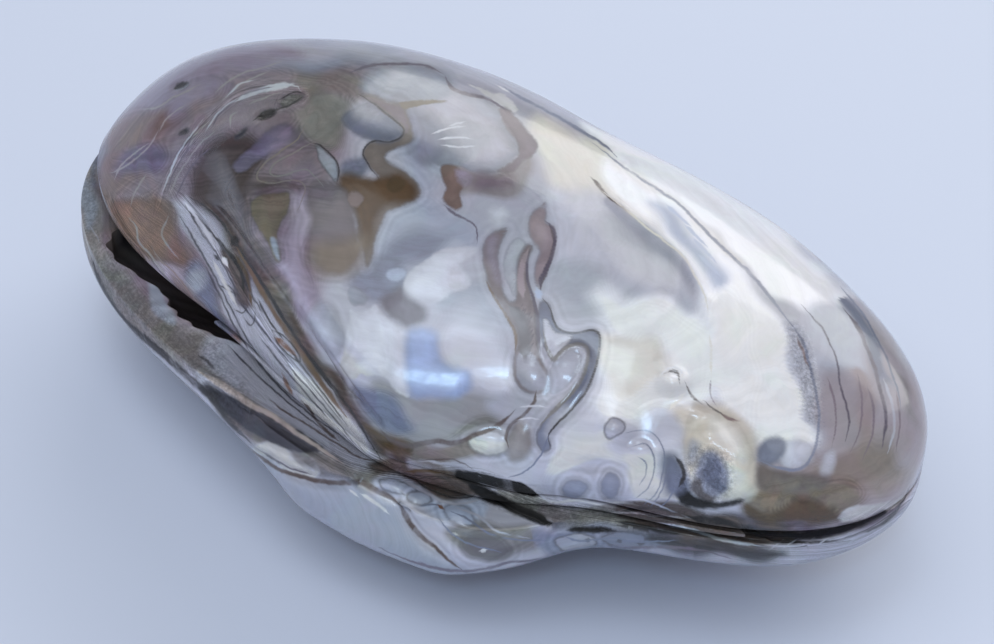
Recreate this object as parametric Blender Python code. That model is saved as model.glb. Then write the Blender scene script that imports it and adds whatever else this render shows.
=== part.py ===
"""A whole mussel shell, ground and polished: two thick domed valves, closed, and the dried hinge ligament.

The shell lies on its lower valve. +X runs from the beak to the rear end, -Y is the hinge side and +Z is up.
The origin is on the table, under the middle of the shell's box. Dimensions are in millimetres until the
meshes are made, and angles are in degrees, anticlockwise from +X as seen from above.
"""

import bpy
import bmesh
import numpy as np

MM = 0.001

# The seam between the valves from above: its distance from the shell's middle, every 20 degrees.
SEAM_RADII = (73, 64, 53.5, 45.5, 43, 43, 46.5, 56.5, 73, 71, 47, 34.5, 30.5, 30, 30.5, 33, 39, 56)
# How far the lower valve's edge stands out past the seam at those angles: the ground ledge at the hinge.
LEDGE_WIDTHS = (0, 0, 0, 0, 0, 0, 0, 0, 0.7, 4, 9, 8, 6.5, 5, 5, 5.5, 2, 0.3)

SEAM_HEIGHT = 28.0
UPPER_TOP = 55.2
UPPER_SUMMIT = (-21.0, 8.5)
LOWER_SUMMIT = (-3.0, 4.5)

# Shape of each dome every 45 degrees: 0.5 is an ellipse from summit to edge, more is leaner, less is fuller.
UPPER_LEANNESS = (0.41, 0.58, 0.63, 0.47, 0.65, 0.65, 0.4, 0.6)
LOWER_LEANNESS = (0.47, 0.46, 0.5, 0.51, 0.5, 0.56, 0.42, 0.56)
# How far each dome swells past its own edge at those angles, as a share of the distance to its summit.
UPPER_SWELL = (0, 0, 0, 0.08, -0.08, 0, 0.07, 0.02)
LOWER_SWELL = (0, 0.04, 0.03, 0.01, 0.06, 0.07, 0.17, 0.02)

OVAL_SHARE = 0.1         # inside this share of the way out, a dome's plan is a plain oval
OWN_SHARE = 0.9          # outside this share, a dome's plan follows the outline of its edge

EDGE_BAND = 2.2          # height of the ground band along each valve's edge
EDGE_FADE = 0.12         # dents, lumps and creases fade out over this share of the dome at its edge
RIM_WIDTH = 4.0          # thickness of the valves at the seam
WALL = 5.0               # thickness of the valves at their summits
REST_CUT = 0.8           # depth ground off the lower summit, which leaves the flat that it rests on

# Where the upper valve's rim rises above the seam: angle, half-width and height.
RIM_LEVEL = 0.2
RIM_LIFTS = ((215, 70, 1.0), (322, 18, 0.8))
# How the ledge slopes down to its outer edge: middle angle, half-width and drop.
LEDGE_LEVEL = -0.3
LEDGE_SLOPE = (200, 60, 3.5)
LEDGE_LEAST_DROP = 0.1

SEAM_GAP = 0.4           # gap between the valves where they meet
LIGAMENT_GAP = 2.8       # gap that the ligament fills
OPEN_GAP = 1.4           # extra gap where the ligament is torn away
GAP_START, GAP_END, GAP_FADE = 182.0, 345.0, 12.0
TEAR_ANGLE, TEAR_HALF = 194.0, 14.0
TEAR_REACH = 5.0
SPLIT_ANGLE, SPLIT_HALF = 290.0, 24.0

LIGAMENT_START, LIGAMENT_END = 206.0, 341.0
LIGAMENT_DEPTH = 3.4     # from its outer face inwards
LIGAMENT_CLEARANCE = 0.35
LIGAMENT_SET_BACK = 0.3  # its outer face lies this far inside the seam
LIGAMENT_BULGE = 0.4     # its middle swells out this far
LIGAMENT_TAPER = 0.25    # length of its tapered ends, as an angle in radians
LIGAMENT_END_THICK = 0.35
LIGAMENT_END_DEEP = 0.4

# The crease at the foot of the dome, above the hinge facet, in the side view from -Y: (x, height).
CREASE = ((-62, 42), (-50, 44), (-40, 45.5), (-30, 46), (-21, 43.5), (-13, 38), (-6.5, 33.5), (4, 29))
CREASE_DEPTH = 2.2
CREASE_DOME_SPREAD = 6.0
CREASE_FACET_WIDTH = 13.0
CREASE_END_FADE = 14.0
CREASE_SIDE_FADE = 6.0

# Dents and lumps: place from above (x, y), radius, and height outwards.
UPPER_RELIEF = (
    (26, 8, 15, -1.5),       # the hollow behind the curved rib
    (37, -10, 5, 0.9),       # the hooded blister
    (32, -20, 5, 1.0),       # the oval blister
    (48, -19, 8, 1.4),       # the rough lump near the hinge edge
    (17, -26, 7, -1.0),      # the wrinkled dip beside the hinge edge
    (-56, 10, 12, 1.0),      # the beak
)
LOWER_RELIEF = (
    (13, -39, 7, 1.2),       # the blistered swelling under the hinge
    (25, -37, 6, -1.0),      # the notch behind it
    (-14, -36, 7, 0.8),      # the end of the ledge
)

AROUND = 64
OUTER_RINGS = 18
INNER_RINGS = 8
FIRST_SHARE = 0.06
LIGAMENT_STEPS = 40
INNER_TIP_SHARE = 0.14
OUTLINE_STEPS = 72
SLOPE_STEP = 0.004
SLOPE_FIRST_SHARE = 0.03
SMOOTH_ANGLE = np.radians(35)

SHELL_COLOUR = (0.62, 0.60, 0.60, 1.0)
LEDGE_COLOUR = (0.50, 0.48, 0.50, 1.0)
LIGAMENT_COLOUR = (0.16, 0.14, 0.13, 1.0)


def clear_scene():
    for thing in list(bpy.data.objects):
        bpy.data.objects.remove(thing, do_unlink=True)


def ease(t):
    """0 to 1 with level ends."""
    t = np.clip(t, 0, 1)
    return t * t * (3 - 2 * t)


def around(values, angle):
    """A smooth closed curve through equally spaced values, read at angles in radians."""
    count = len(values)
    waves = np.fft.rfft(values) / count
    total = np.full(np.shape(angle), waves[0].real)
    for k in range(1, len(waves)):
        share = 1 if 2 * k == count else 2
        total = total + share * (waves[k].real * np.cos(k * angle) - waves[k].imag * np.sin(k * angle))
    return total


def near(angle, middle, half):
    """1 at an angle in degrees, easing to 0 at half to each side of it."""
    away = (np.degrees(angle) - middle + 180) % 360 - 180
    return ease(1 - np.abs(away) / half)


def between(angle, start, end, fade):
    """1 between two angles in degrees, fading outside them."""
    degrees = np.degrees(angle) % 360
    return ease((degrees - start) / fade + 1) * ease((end - degrees) / fade + 1)


def seam_radius(angle):
    return around(SEAM_RADII, angle)


def ledge_width(angle):
    return np.maximum(around(LEDGE_WIDTHS, angle), 0)


def gap(angle):
    """Height of the gap between the two rims."""
    wide = LIGAMENT_GAP - SEAM_GAP
    ligament = wide * between(angle, GAP_START, GAP_END, GAP_FADE)
    return SEAM_GAP + ligament + OPEN_GAP * near(angle, SPLIT_ANGLE, SPLIT_HALF)


def upper_rim_height(angle):
    height = np.full(np.shape(angle), SEAM_HEIGHT + RIM_LEVEL)
    for middle, half, lift in RIM_LIFTS:
        height = height + lift * near(angle, middle, half)
    return height


def lower_rim_height(angle):
    return upper_rim_height(angle) - gap(angle)


def ledge_edge_height(angle):
    middle, half, drop = LEDGE_SLOPE
    slope = SEAM_HEIGHT + LEDGE_LEVEL - drop * near(angle, middle, half)
    return np.minimum(slope, lower_rim_height(angle) - LEDGE_LEAST_DROP)


def upper_edge_height(angle):
    return upper_rim_height(angle) + EDGE_BAND


def lower_edge_height(angle):
    return ledge_edge_height(angle) - EDGE_BAND


def ledge_radius(angle):
    return seam_radius(angle) + ledge_width(angle)


def upper_hollow_radius(angle):
    return seam_radius(angle) - RIM_WIDTH


def lower_hollow_radius(angle):
    """The lower hollow reaches out under the tear in the ligament."""
    return seam_radius(angle) - RIM_WIDTH + TEAR_REACH * near(angle, TEAR_ANGLE, TEAR_HALF)


def dome(share, angle, radius, edge_height, summit, top, leanness, swell):
    """Points of a dome: share is 0 at the summit and 1 at the edge."""
    summit = np.array(summit)
    edge = radius(angle)[..., None] * np.stack([np.cos(angle), np.sin(angle)], -1) - summit
    turn = np.linspace(0, 2 * np.pi, OUTLINE_STEPS, endpoint=False)
    outline = radius(turn)[:, None] * np.stack([np.cos(turn), np.sin(turn)], -1) - summit
    oval_x = 2 * np.mean(outline * np.cos(turn)[:, None], 0)
    oval_y = 2 * np.mean(outline * np.sin(turn)[:, None], 0)
    oval = np.cos(angle)[..., None] * oval_x + np.sin(angle)[..., None] * oval_y
    own = ease((share - OVAL_SHARE) / (OWN_SHARE - OVAL_SHARE))
    reach = oval * (1 - own[..., None]) + edge * own[..., None]
    lean = 0.5 * (1 - own) + around(leanness, angle) * own
    spread = around(swell, angle) * own
    swing = share * np.pi / 2
    out = np.sin(swing) + spread * np.sin(2 * swing) * np.sin(swing)
    plan = summit + reach * out[..., None]
    drop = np.clip(np.cos(swing), 0, 1) ** (2 * lean)
    height = edge_height(angle)
    return np.concatenate([plan, (height + (top - height) * drop)[..., None]], -1)


def relief(points, spots):
    """Height of the dents and lumps, which fall off smoothly to their radius."""
    total = np.zeros(points.shape[:-1])
    for x, y, radius, height in spots:
        away = np.hypot(points[..., 0] - x, points[..., 1] - y)
        total = total + height * np.exp(-(away / radius) ** 2 * 2)
    return total


def outward(surface, share, angle, sign):
    """Unit normals of a surface by small steps across it."""
    place = np.clip(share, SLOPE_FIRST_SHARE, 1)
    down = surface(np.minimum(place + SLOPE_STEP, 1), angle) - surface(place - SLOPE_STEP, angle)
    side = surface(place, angle + SLOPE_STEP) - surface(place, angle - SLOPE_STEP)
    normal = sign * np.cross(down, side)
    return normal / np.linalg.norm(normal, axis=-1, keepdims=True)


def crease_push(points):
    """How far the hinge side is pushed in, deepest along the crease at the foot of the dome."""
    crease_x, crease_z = np.array(CREASE, float).T
    above = points[..., 2] - np.interp(points[..., 0], crease_x, crease_z)
    dome_side = np.exp(-(above / CREASE_DOME_SPREAD) ** 2)
    facet_side = np.clip(1 + above / CREASE_FACET_WIDTH, 0, 1)
    start = ease((points[..., 0] - crease_x[0]) / CREASE_END_FADE)
    end = ease((crease_x[-1] - points[..., 0]) / CREASE_END_FADE)
    hinge_side = ease(-points[..., 1] / CREASE_SIDE_FADE)
    return CREASE_DEPTH * np.where(above > 0, dome_side, facet_side) * start * end * hinge_side


def upper_dome(share, angle):
    return dome(share, angle, seam_radius, upper_edge_height, UPPER_SUMMIT, UPPER_TOP,
                UPPER_LEANNESS, UPPER_SWELL)


def lower_dome(share, angle):
    return dome(share, angle, ledge_radius, lower_edge_height, LOWER_SUMMIT, -REST_CUT,
                LOWER_LEANNESS, LOWER_SWELL)


def dressed(smooth, share, angle, spots, sign):
    """A smooth dome with its dents and lumps, which fade out at the edge."""
    points = smooth(share, angle)
    fade = ease((1 - share) / EDGE_FADE)
    return points + (relief(points, spots) * fade)[..., None] * outward(smooth, share, angle, sign)


def upper_outside(share, angle):
    points = dressed(upper_dome, share, angle, UPPER_RELIEF, 1)
    points[..., 1] += crease_push(points) * ease((1 - share) / EDGE_FADE)
    return points


def lower_outside(share, angle):
    return dressed(lower_dome, share, angle, LOWER_RELIEF, -1)


def upper_inside(share, angle):
    return dome(share, angle, upper_hollow_radius, upper_rim_height, UPPER_SUMMIT, UPPER_TOP - WALL,
                UPPER_LEANNESS, UPPER_SWELL)


def lower_inside(share, angle):
    return dome(share, angle, lower_hollow_radius, lower_rim_height, LOWER_SUMMIT, WALL,
                LOWER_LEANNESS, LOWER_SWELL)


def summit_share(angle):
    return np.full(angle.shape, FIRST_SHARE)


def rest_share(angle):
    """Where the lower dome passes the table: the flat is ground off inside it."""
    height = lower_edge_height(angle)
    return np.arccos(height / (height + REST_CUT)) * 2 / np.pi


def valve_rings(outside, inside, first_share, edge_height):
    """Rings of points from the outer summit, over the edge and rim, to the inner summit."""
    angle = np.linspace(0, 2 * np.pi, AROUND, endpoint=False)
    tip = np.zeros(1)
    rings = [outside(tip, tip)]
    first = first_share(angle)
    for i in range(OUTER_RINGS):
        rings.append(outside(first + (1 - first) * i / (OUTER_RINGS - 1), angle))
    rings.append(np.column_stack([rings[-1][:, :2], edge_height(angle)]))
    for share in np.linspace(1, INNER_TIP_SHARE, INNER_RINGS):
        rings.append(inside(np.full(AROUND, share), angle))
    rings.append(inside(tip, tip))
    return rings


def loft(name, rings, colour, roughness):
    """One closed body from rings of points; a ring of one point is a tip."""
    mesh = bpy.data.meshes.new(name)
    body = bmesh.new()
    loops = []
    for ring in rings:
        loops.append([body.verts.new(np.asarray(point) * MM) for point in ring])
    for first, second in zip(loops, loops[1:]):
        count = max(len(first), len(second))
        for i in range(count):
            j = (i + 1) % count
            near_side = [first[i % len(first)], first[j % len(first)]]
            far_side = [second[j % len(second)], second[i % len(second)]]
            body.faces.new(list(dict.fromkeys(near_side + far_side)))
    bmesh.ops.recalc_face_normals(body, faces=body.faces)
    body.to_mesh(mesh)
    body.free()
    mesh.shade_smooth()
    mesh.set_sharp_from_angle(angle=SMOOTH_ANGLE)
    thing = bpy.data.objects.new(name, mesh)
    thing.data.materials.append(finish(name, colour, roughness))
    bpy.context.collection.objects.link(thing)
    return thing


def finish(name, colour, roughness):
    material = bpy.data.materials.new(name)
    material.use_nodes = True
    shader = material.node_tree.nodes["Principled BSDF"]
    shader.inputs["Base Color"].default_value = colour
    shader.inputs["Roughness"].default_value = roughness
    shader.inputs["Metallic"].default_value = 0.0
    return material


def make_upper_valve():
    rings = valve_rings(upper_outside, upper_inside, summit_share, upper_rim_height)
    return loft("upper_valve", rings, SHELL_COLOUR, 0.2)


def make_lower_valve():
    rings = valve_rings(lower_outside, lower_inside, rest_share, ledge_edge_height)
    rings[0][:, 2] = 0
    rings[1][:, 2] = 0
    return loft("lower_valve", rings, LEDGE_COLOUR, 0.3)


def make_ligament():
    """A thin strip that follows the seam, between the two rims."""
    angle = np.radians(np.linspace(LIGAMENT_START, LIGAMENT_END, LIGAMENT_STEPS))
    thick = np.minimum(gap(angle) - 2 * LIGAMENT_CLEARANCE, LIGAMENT_GAP - 2 * LIGAMENT_CLEARANCE)
    ends = ease(np.minimum(angle - angle[0], angle[-1] - angle) / LIGAMENT_TAPER)
    thick = thick * (LIGAMENT_END_THICK + (1 - LIGAMENT_END_THICK) * ends)
    depth = LIGAMENT_DEPTH * (LIGAMENT_END_DEEP + (1 - LIGAMENT_END_DEEP) * ends)
    top = upper_rim_height(angle) - LIGAMENT_CLEARANCE
    outer = seam_radius(angle) - LIGAMENT_SET_BACK
    ray = np.stack([np.cos(angle), np.sin(angle)], -1)
    rings = []
    for i in range(LIGAMENT_STEPS):
        face, back = ray[i] * outer[i], ray[i] * (outer[i] - depth[i])
        low, mid, high = top[i] - thick[i], top[i] - thick[i] / 2, top[i]
        swell = ray[i] * (outer[i] + LIGAMENT_BULGE)
        rings.append(np.array([(*back, low), (*face, low), (*swell, mid), (*face, high), (*back, high)]))
    rings = [rings[0].mean(0)[None]] + rings + [rings[-1].mean(0)[None]]
    return loft("hinge_ligament", rings, LIGAMENT_COLOUR, 0.9)


def centre_on_origin(things):
    """Move the shell so that the middle of its box is over the origin."""
    corners = np.array([vertex.co for thing in things for vertex in thing.data.vertices])
    middle = (corners.min(0) + corners.max(0)) / 2
    for thing in things:
        thing.location = (-middle[0], -middle[1], 0)


clear_scene()
centre_on_origin([make_upper_valve(), make_lower_valve(), make_ligament()])
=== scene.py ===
"""The looks of a whole mussel shell that was ground and polished down to its nacre.

The shell has three pieces: the two valves and the dried ligament between them. Each is a fine mesh
on the same curves as the solid it stands for. Shapes are in millimetres until the meshes are made,
and angles are in degrees, anticlockwise from +X as seen from above. Markings are outlines given in
pixels of the picture as the camera sees it. They are measured at the points of each mesh, and the
materials add the fine lines, the clouds, the grit and the lustre.
"""

import bpy
import numpy as np
from mathutils import Matrix, Vector


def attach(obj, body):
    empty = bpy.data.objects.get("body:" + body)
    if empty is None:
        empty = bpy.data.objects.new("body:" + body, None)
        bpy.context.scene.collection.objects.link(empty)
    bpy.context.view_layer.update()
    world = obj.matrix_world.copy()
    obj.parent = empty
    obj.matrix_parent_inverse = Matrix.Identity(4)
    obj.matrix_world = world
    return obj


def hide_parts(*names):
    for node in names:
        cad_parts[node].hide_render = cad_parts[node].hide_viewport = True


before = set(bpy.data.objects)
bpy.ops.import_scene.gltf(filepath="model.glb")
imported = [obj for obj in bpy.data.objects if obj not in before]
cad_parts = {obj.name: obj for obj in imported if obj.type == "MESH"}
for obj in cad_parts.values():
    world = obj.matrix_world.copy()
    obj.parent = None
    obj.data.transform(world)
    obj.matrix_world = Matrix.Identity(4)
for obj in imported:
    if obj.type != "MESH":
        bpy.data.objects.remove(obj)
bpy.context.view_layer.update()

MM = 0.001
CENTRE = np.array([2.33, -3.14, 0.0])   # from the shell's middle to the origin of the part, in mm

# The seam between the valves from above: its distance from the shell's middle, every 20 degrees.
SEAM_RADII = (73, 64, 53.5, 45.5, 43, 43, 46.5, 56.5, 73, 71, 47, 34.5, 30.5, 30, 30.5, 33, 39, 56)
# How far the lower valve's edge stands out past the seam at those angles: the ground ledge at the hinge.
LEDGE_WIDTHS = (0, 0, 0, 0, 0, 0, 0, 0, 0.7, 4, 9, 8, 6.5, 5, 5, 5.5, 2, 0.3)

# The two domes: their heights and summits, and how lean and how swollen they are every 45 degrees.
SEAM_HEIGHT = 28.0
UPPER_TOP = 55.2
UPPER_SUMMIT = (-21.0, 8.5)
LOWER_SUMMIT = (-3.0, 4.5)
UPPER_LEANNESS = (0.41, 0.58, 0.63, 0.47, 0.65, 0.65, 0.4, 0.6)
LOWER_LEANNESS = (0.47, 0.46, 0.5, 0.51, 0.5, 0.56, 0.42, 0.56)
SUMMIT_LEANNESS = 0.5
UPPER_SWELL = (0, 0, 0, 0.08, -0.08, 0, 0.07, 0.02)
LOWER_SWELL = (0, 0.04, 0.03, 0.01, 0.06, 0.07, 0.17, 0.02)
OVAL_SHARE = 0.1   # up to this share of the way out a dome is an oval
OWN_SHARE = 0.9    # and from this share on it follows its own outline

# Rims, walls and the ledge.
EDGE_BAND = 2.2
EDGE_FADE = 0.12
RIM_WIDTH = 4.0
WALL = 5.0
REST_CUT = 0.8
RIM_LEVEL = 0.2
RIM_LIFTS = ((215, 70, 1.0), (322, 18, 0.8))   # middle and half width in degrees, lift in mm
LEDGE_LEVEL = -0.3
LEDGE_SLOPE = (200, 60, 3.5)                   # middle and half width in degrees, drop in mm
LEDGE_LEAST_DROP = 0.1

# The gap between the rims, and the torn opening in the ledge near the beak.
SEAM_GAP = 0.4
LIGAMENT_GAP = 2.8
OPEN_GAP = 1.4
GAP_START, GAP_END, GAP_FADE = 182.0, 345.0, 12.0
TEARS = ((190.0, 8.0, 7.4), (203.0, 15.0, 7.2))   # middle and half width in degrees, reach in mm
TEAR_RIPPLE, TEAR_RIPPLES = 0.06, 130.0
SPLIT_ANGLE, SPLIT_HALF = 290.0, 24.0

# The ligament, which gets thinner towards its ends.
LIGAMENT_START, LIGAMENT_END = 206.0, 341.0
LIGAMENT_DEPTH = 3.4
LIGAMENT_SET_BACK = 0.3
LIGAMENT_TAPER = 0.25
LIGAMENT_END_THICK = 0.35
LIGAMENT_END_DEEP = 0.4

# The crest along the hinge side of the upper valve: x and height, and how deep and wide it is.
CREASE = ((-62, 42), (-50, 44), (-40, 45.5), (-30, 46), (-21, 43.5), (-13, 38), (-6.5, 33.5), (4, 29))
CREASE_DEPTH = 2.2
CREASE_DOME_SPREAD = 6.0
CREASE_FACET_WIDTH = 13.0
CREASE_END_FADE = 14.0
CREASE_SIDE_FADE = 6.0

# Low swells and dips of the domes: x, y, radius and height.
UPPER_RELIEF = (
    (26, 8, 15, -1.5), (37, -10, 5, 0.9), (32, -20, 5, 1.0), (48, -19, 8, 1.4), (17, -26, 7, -1.0),
    (-56, 10, 12, 1.0),
)
LOWER_RELIEF = ((13, -39, 7, 1.2), (25, -37, 6, -1.0), (-14, -36, 7, 0.8))

OUTLINE_STEPS = 72
SLOPE_STEP = 0.004
SLOPE_FIRST_SHARE = 0.03
INNER_TIP_SHARE = 0.14
PLAN_FIT = 0.9982   # keeps raised marks inside the solids' box

# How finely the pieces are meshed: points across each outside, and rings on the ledge and each hollow.
UPPER_GRID = (366, 222)
LOWER_GRID = (300, 188)
GRID_CORNER = 33.0
LEDGE_RINGS = 26
HOLLOW_RINGS = 8
EDGE_ROUND = 0.35
ROUND_SHARE = 0.3
STRIP_LENGTH_STEPS = 420
STRIP_ROUND_STEPS = 32
STRIP_CLEARANCE = 0.06
STRIP_BULGE = 0.3
STRIP_SQUARENESS = 0.5

# How marks are drawn, in pixels of the picture.
CURVE_STEPS = 4
PATCH_LAYERS = 10
PATCH_MARGIN = 4.0
TOUCHING = 1.5        # outlines this close count as touching
FAR = 18.0            # distances to an outline are kept up to this
FAR_FADE = 6.0
NEIGHBOUR_FADE = 2.0
INSIDE_WEIGHT = 1e6
LEAST_SOFT = 1.0
STROKE_LAYERS = 7
STROKE_REACH = 10.0
STROKE_MARGIN = 6.0
STROKE_SEEN = 3.0
STROKE_SEEN_FADE = 2.0
STROKE_END_FADE = 3.0
STROKE_TAPER = 0.12   # as a share of the stroke's length
STROKE_END_WIDTH = 0.25
RIDGE_TAPER = 0.08
BUMP_SQUARENESS = 1.5
FIELD_WAVER = 3.0
WAVER_LENGTHS = ((9.1, 13.0), (10.3, 12.0))
GUIDE_REACH = 72.0    # where no guide is closer
TINY = 1e-9           # keeps divisions from failing
NO_LENGTH = 1e-12

# How squarely a surface has to face the camera to carry marks and carving: from, and over how much.
PAINT_FACING = (0.02, 0.2)
CARVE_FACING = (0.1, 0.25)

# Shades are given as they look under the lights, so they're made lighter where less light falls.
LIT_FROM = np.array([-0.05, 0.5, 0.86])
LEAST_LIT = 0.5
PAINT_LEVEL = 0.86
BRIGHTEST = 0.85
LEAST_PAINT = 0.35
GLOSS = (0.016, 0.017, 0.02)
SCREEN_GAMMA = 2.2
BANDED_BELOW, BANDED_OVER = 0.62, 0.3   # growth lines show on shades darker than this

# Lines of growth spread from the beak, and a little with height.
BEAK = np.array([-66.0, -2.0])
GROWTH_BY_HEIGHT = 0.3
MARGIN_STEPS = 720

# Noise in the nacre: scale, detail, roughness and warp.
SLOW_NOISE = (32.0, 3.0, 0.5, 0.6)
SWIRL_NOISE = (75.0, 4.0, 0.55, 1.6)
MOTTLE_NOISE = (150.0, 3.0, 0.6, 1.2)
FINE_NOISE = (420.0, 4.0, 0.6, 0.8)
WOBBLE_NOISE = (560.0, 3.0, 0.6, 0.0)
SPECK_NOISE = (1900.0, 3.0, 0.7, 0.0)
STREAK_NOISE = (1.0, 4.0, 0.7, 0.6)
GROWTH_NOISE = (1.0, 3.0, 0.65, 0.0)

# Most noise lies in these spans, which are stretched out to the full effect.
NOISE_LOW, NOISE_HIGH = 0.3, 0.7
STREAK_LOW, STREAK_HIGH = 0.36, 0.62
SPECK_LOW, SPECK_HIGH, SPECK_TOP = 0.35, 0.68, 0.75
GROWTH_LOW, GROWTH_HIGH = 0.35, 0.65

# Clouds and contour lines in the soft tints, each by a share of the banding and a least depth.
CLOUD_DEPTHS = (0.12, 0.03)
FINE_CLOUDS = 0.5
CONTOUR_RATE = 1.0
CONTOUR_DRIFT = 16.0
CONTOUR_DEPTHS = (0.16, 0.02)

# Patches: the wobble of their edges, the rings around them, their outline and their shading.
EDGE_WOBBLE = 5.0
RING_RATE = 0.85
RING_FADE = 0.92
RING_DEPTH = 0.4
RING_DRIFT = 14.0
OUTLINE_WIDTH = 2.2
OUTLINE_STRENGTH = 0.55
OUTLINE_COLOUR = (0.05, 0.045, 0.055, 1)
PATCH_SHADE_REACH = 12.0
PATCH_EDGE_SHADE = 0.86
PATCH_MIDDLE_SHADE = 1.05
WORN_MOTTLE = 0.8
WORN_RAMP = (0.6, 1.2, 0.84, 1.14)

# Strokes: their wobble, the blur of their edges and how they wear off.
STROKE_WOBBLE = 0.7
STROKE_BLURS = (0.3, 0.6)
STROKE_WEAR = (0.3, 0.55, 0.6, 0.95)

# Streaks and growth lines.
STREAK_DRIFT = 14.0
STREAK_ACROSS = 0.3
STREAK_ALONG = 5.0
STREAK_SHADES = (0.5, 0.88)
GROWTH_DRIFT = 0.10
GROWTH_RATE = 34.0
GROWTH_DEPTHS = (0.2, 0.05)

# Grit, polish, lustre and the light that gets into the nacre.
SPECK_SHADES = (0.72, 1.2)
FINE_SHADES = (0.86, 1.14)
POLISH = (0.13, 0.24)
DULLING = 0.6
STREAK_HEIGHT = 0.25
SWIRL_HEIGHT = 0.35
BUMP_DISTANCE = 0.0004
BUMP_STRENGTH = 0.5
LUSTRE = 0.015
DARK_LUSTRE = 0.05
LUSTRE_SWIRL = 0.5
LUSTRE_RATE = 22.0
LUSTRE_SHIFTS = (0.0, 2.1, 4.2)
GLOW = (
    ("Subsurface Weight", 0.12), ("Subsurface Radius", (0.003, 0.0025, 0.002)), ("Subsurface Scale", 1.0),
    ("Coat Weight", 0.25), ("Coat Roughness", 0.06),
)

# Marbled zones on the sides that the picture doesn't show: shade, and where it is in a zone.
ZONES = (
    ("lilac", 0.0), ("taupe", 0.16), ("pearl", 0.24), ("chalk", 0.42), ("beige", 0.55), ("rosewood", 0.62),
    ("mist", 0.7), ("ice", 0.84), ("lilac", 1.0),
)
ZONE_RATE = 2.6
ZONE_DRIFT = 1.1
ZONE_SWIRL = 0.3

# The camera, in the picture's own terms.
PICTURE_SIZE = (994, 644)
CAMERA_AZIMUTH = 27.08
CAMERA_ELEVATION = 46.76
CAMERA_TARGET = np.array([2.67, 2.11, 28.0]) + CENTRE
CAMERA_DISTANCE = 370.77
CAMERA_SIGHT = 20.0
LENS = 85.0
SENSOR = 36.0

# The floor, the room and its lights: name, place, target, size, watts and colour, in metres.
FLOOR_REACH = 3.0
FLOOR_COLOUR = (0.59, 0.64, 0.77)
FLOOR_ROUGHNESS = 0.5
ROOM_COLOUR = (0.92, 0.95, 1.0, 1)
ROOM_STRENGTH = 0.375
LIGHTS = (
    ("window", (0.2, 2.6, 1.7), (0, 0, 0.02), (3.6, 1.8), 53, (1.0, 0.99, 0.97)),
    ("ceiling", (-0.2, -0.5, 2.1), (0, 0, 0), (2.4, 2.0), 21, (0.98, 0.99, 1.0)),
    ("pane", (0.0, -0.16, 1.24), (0, 0, 0.04), (0.2, 0.32), 0.9, (0.72, 0.86, 1.0)),
    ("small pane", (0.225, -0.63, 1.06), (0, 0, 0.04), (0.16, 0.16), 1.3, (0.5, 0.74, 1.0)),
)

# Colours of the nacre, and of the painted shade and reflections, as they look on the screen.
SHADES = {
    "pearl": (172, 173, 186), "chalk": (198, 200, 212), "white": (226, 227, 230), "cream": (218, 214, 206),
    "beige": (202, 194, 184), "ash": (164, 166, 179), "mist": (146, 152, 166), "ice": (172, 182, 204),
    "slate": (104, 110, 130), "steel": (122, 127, 146), "lilac": (152, 144, 160), "violet": (104, 96, 117),
    "mauve": (122, 111, 122), "plum": (92, 86, 100), "rose": (130, 114, 114), "rosewood": (116, 98, 98),
    "umber": (106, 86, 70), "bistre": (82, 66, 50), "sepia": (82, 72, 72), "moss": (116, 116, 111),
    "khaki": (128, 118, 104), "taupe": (118, 110, 108), "stone": (120, 118, 118), "grit": (104, 102, 104),
    "soot": (48, 47, 52), "black": (22, 21, 23), "rust": (110, 78, 60), "fawn": (140, 136, 139),
    "bronze": (87, 67, 51), "ink": (62, 62, 72), "nacre": (186, 188, 200), "ivory": (226, 223, 217),
    "snow": (246, 247, 252), "blush": (158, 146, 150), "tan": (160, 150, 146), "drop grey": (108, 99, 88),
    "smoke": (136, 141, 160), "dusk": (162, 155, 163), "russet": (125, 107, 103),
    "lavender": (124, 113, 140), "walnut": (116, 104, 94), "cocoa": (106, 88, 84),
    "dusk blue": (150, 167, 206), "haze": (178, 182, 192), "bluegrey": (162, 169, 186),
    "river": (130, 120, 124), "shale": (100, 97, 102), "bark": (122, 96, 88), "fold": (108, 101, 108),
    "lobe": (120, 126, 144), "hollow": (72, 62, 64), "lilac mist": (135, 127, 145),
    "lichen": (144, 145, 150), "rosewater": (156, 143, 150), "dusk plum": (94, 88, 94),
    "end brown": (140, 130, 128),
}

# Courses that more than one mark follows, as x, y, x, y, ...
LOBE_EDGE = (360,95, 374,104, 388,115, 401,126, 404,132, 400,138, 391,142, 375,141, 367,145, 363,153,
             368,164, 379,179)
TAN_RIDGE = (200,372, 225,387, 252,405, 275,417, 298,434, 320,448, 342,463)
DEPRESSION_EDGE = (604,192, 630,213, 646,227, 662,239, 681,254, 689,264, 696,278, 703,291, 708,309)
GROOVE = (246,445, 262,458, 280,470, 300,476, 320,481, 345,483, 360,482, 375,490, 390,497, 400,505)

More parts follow.
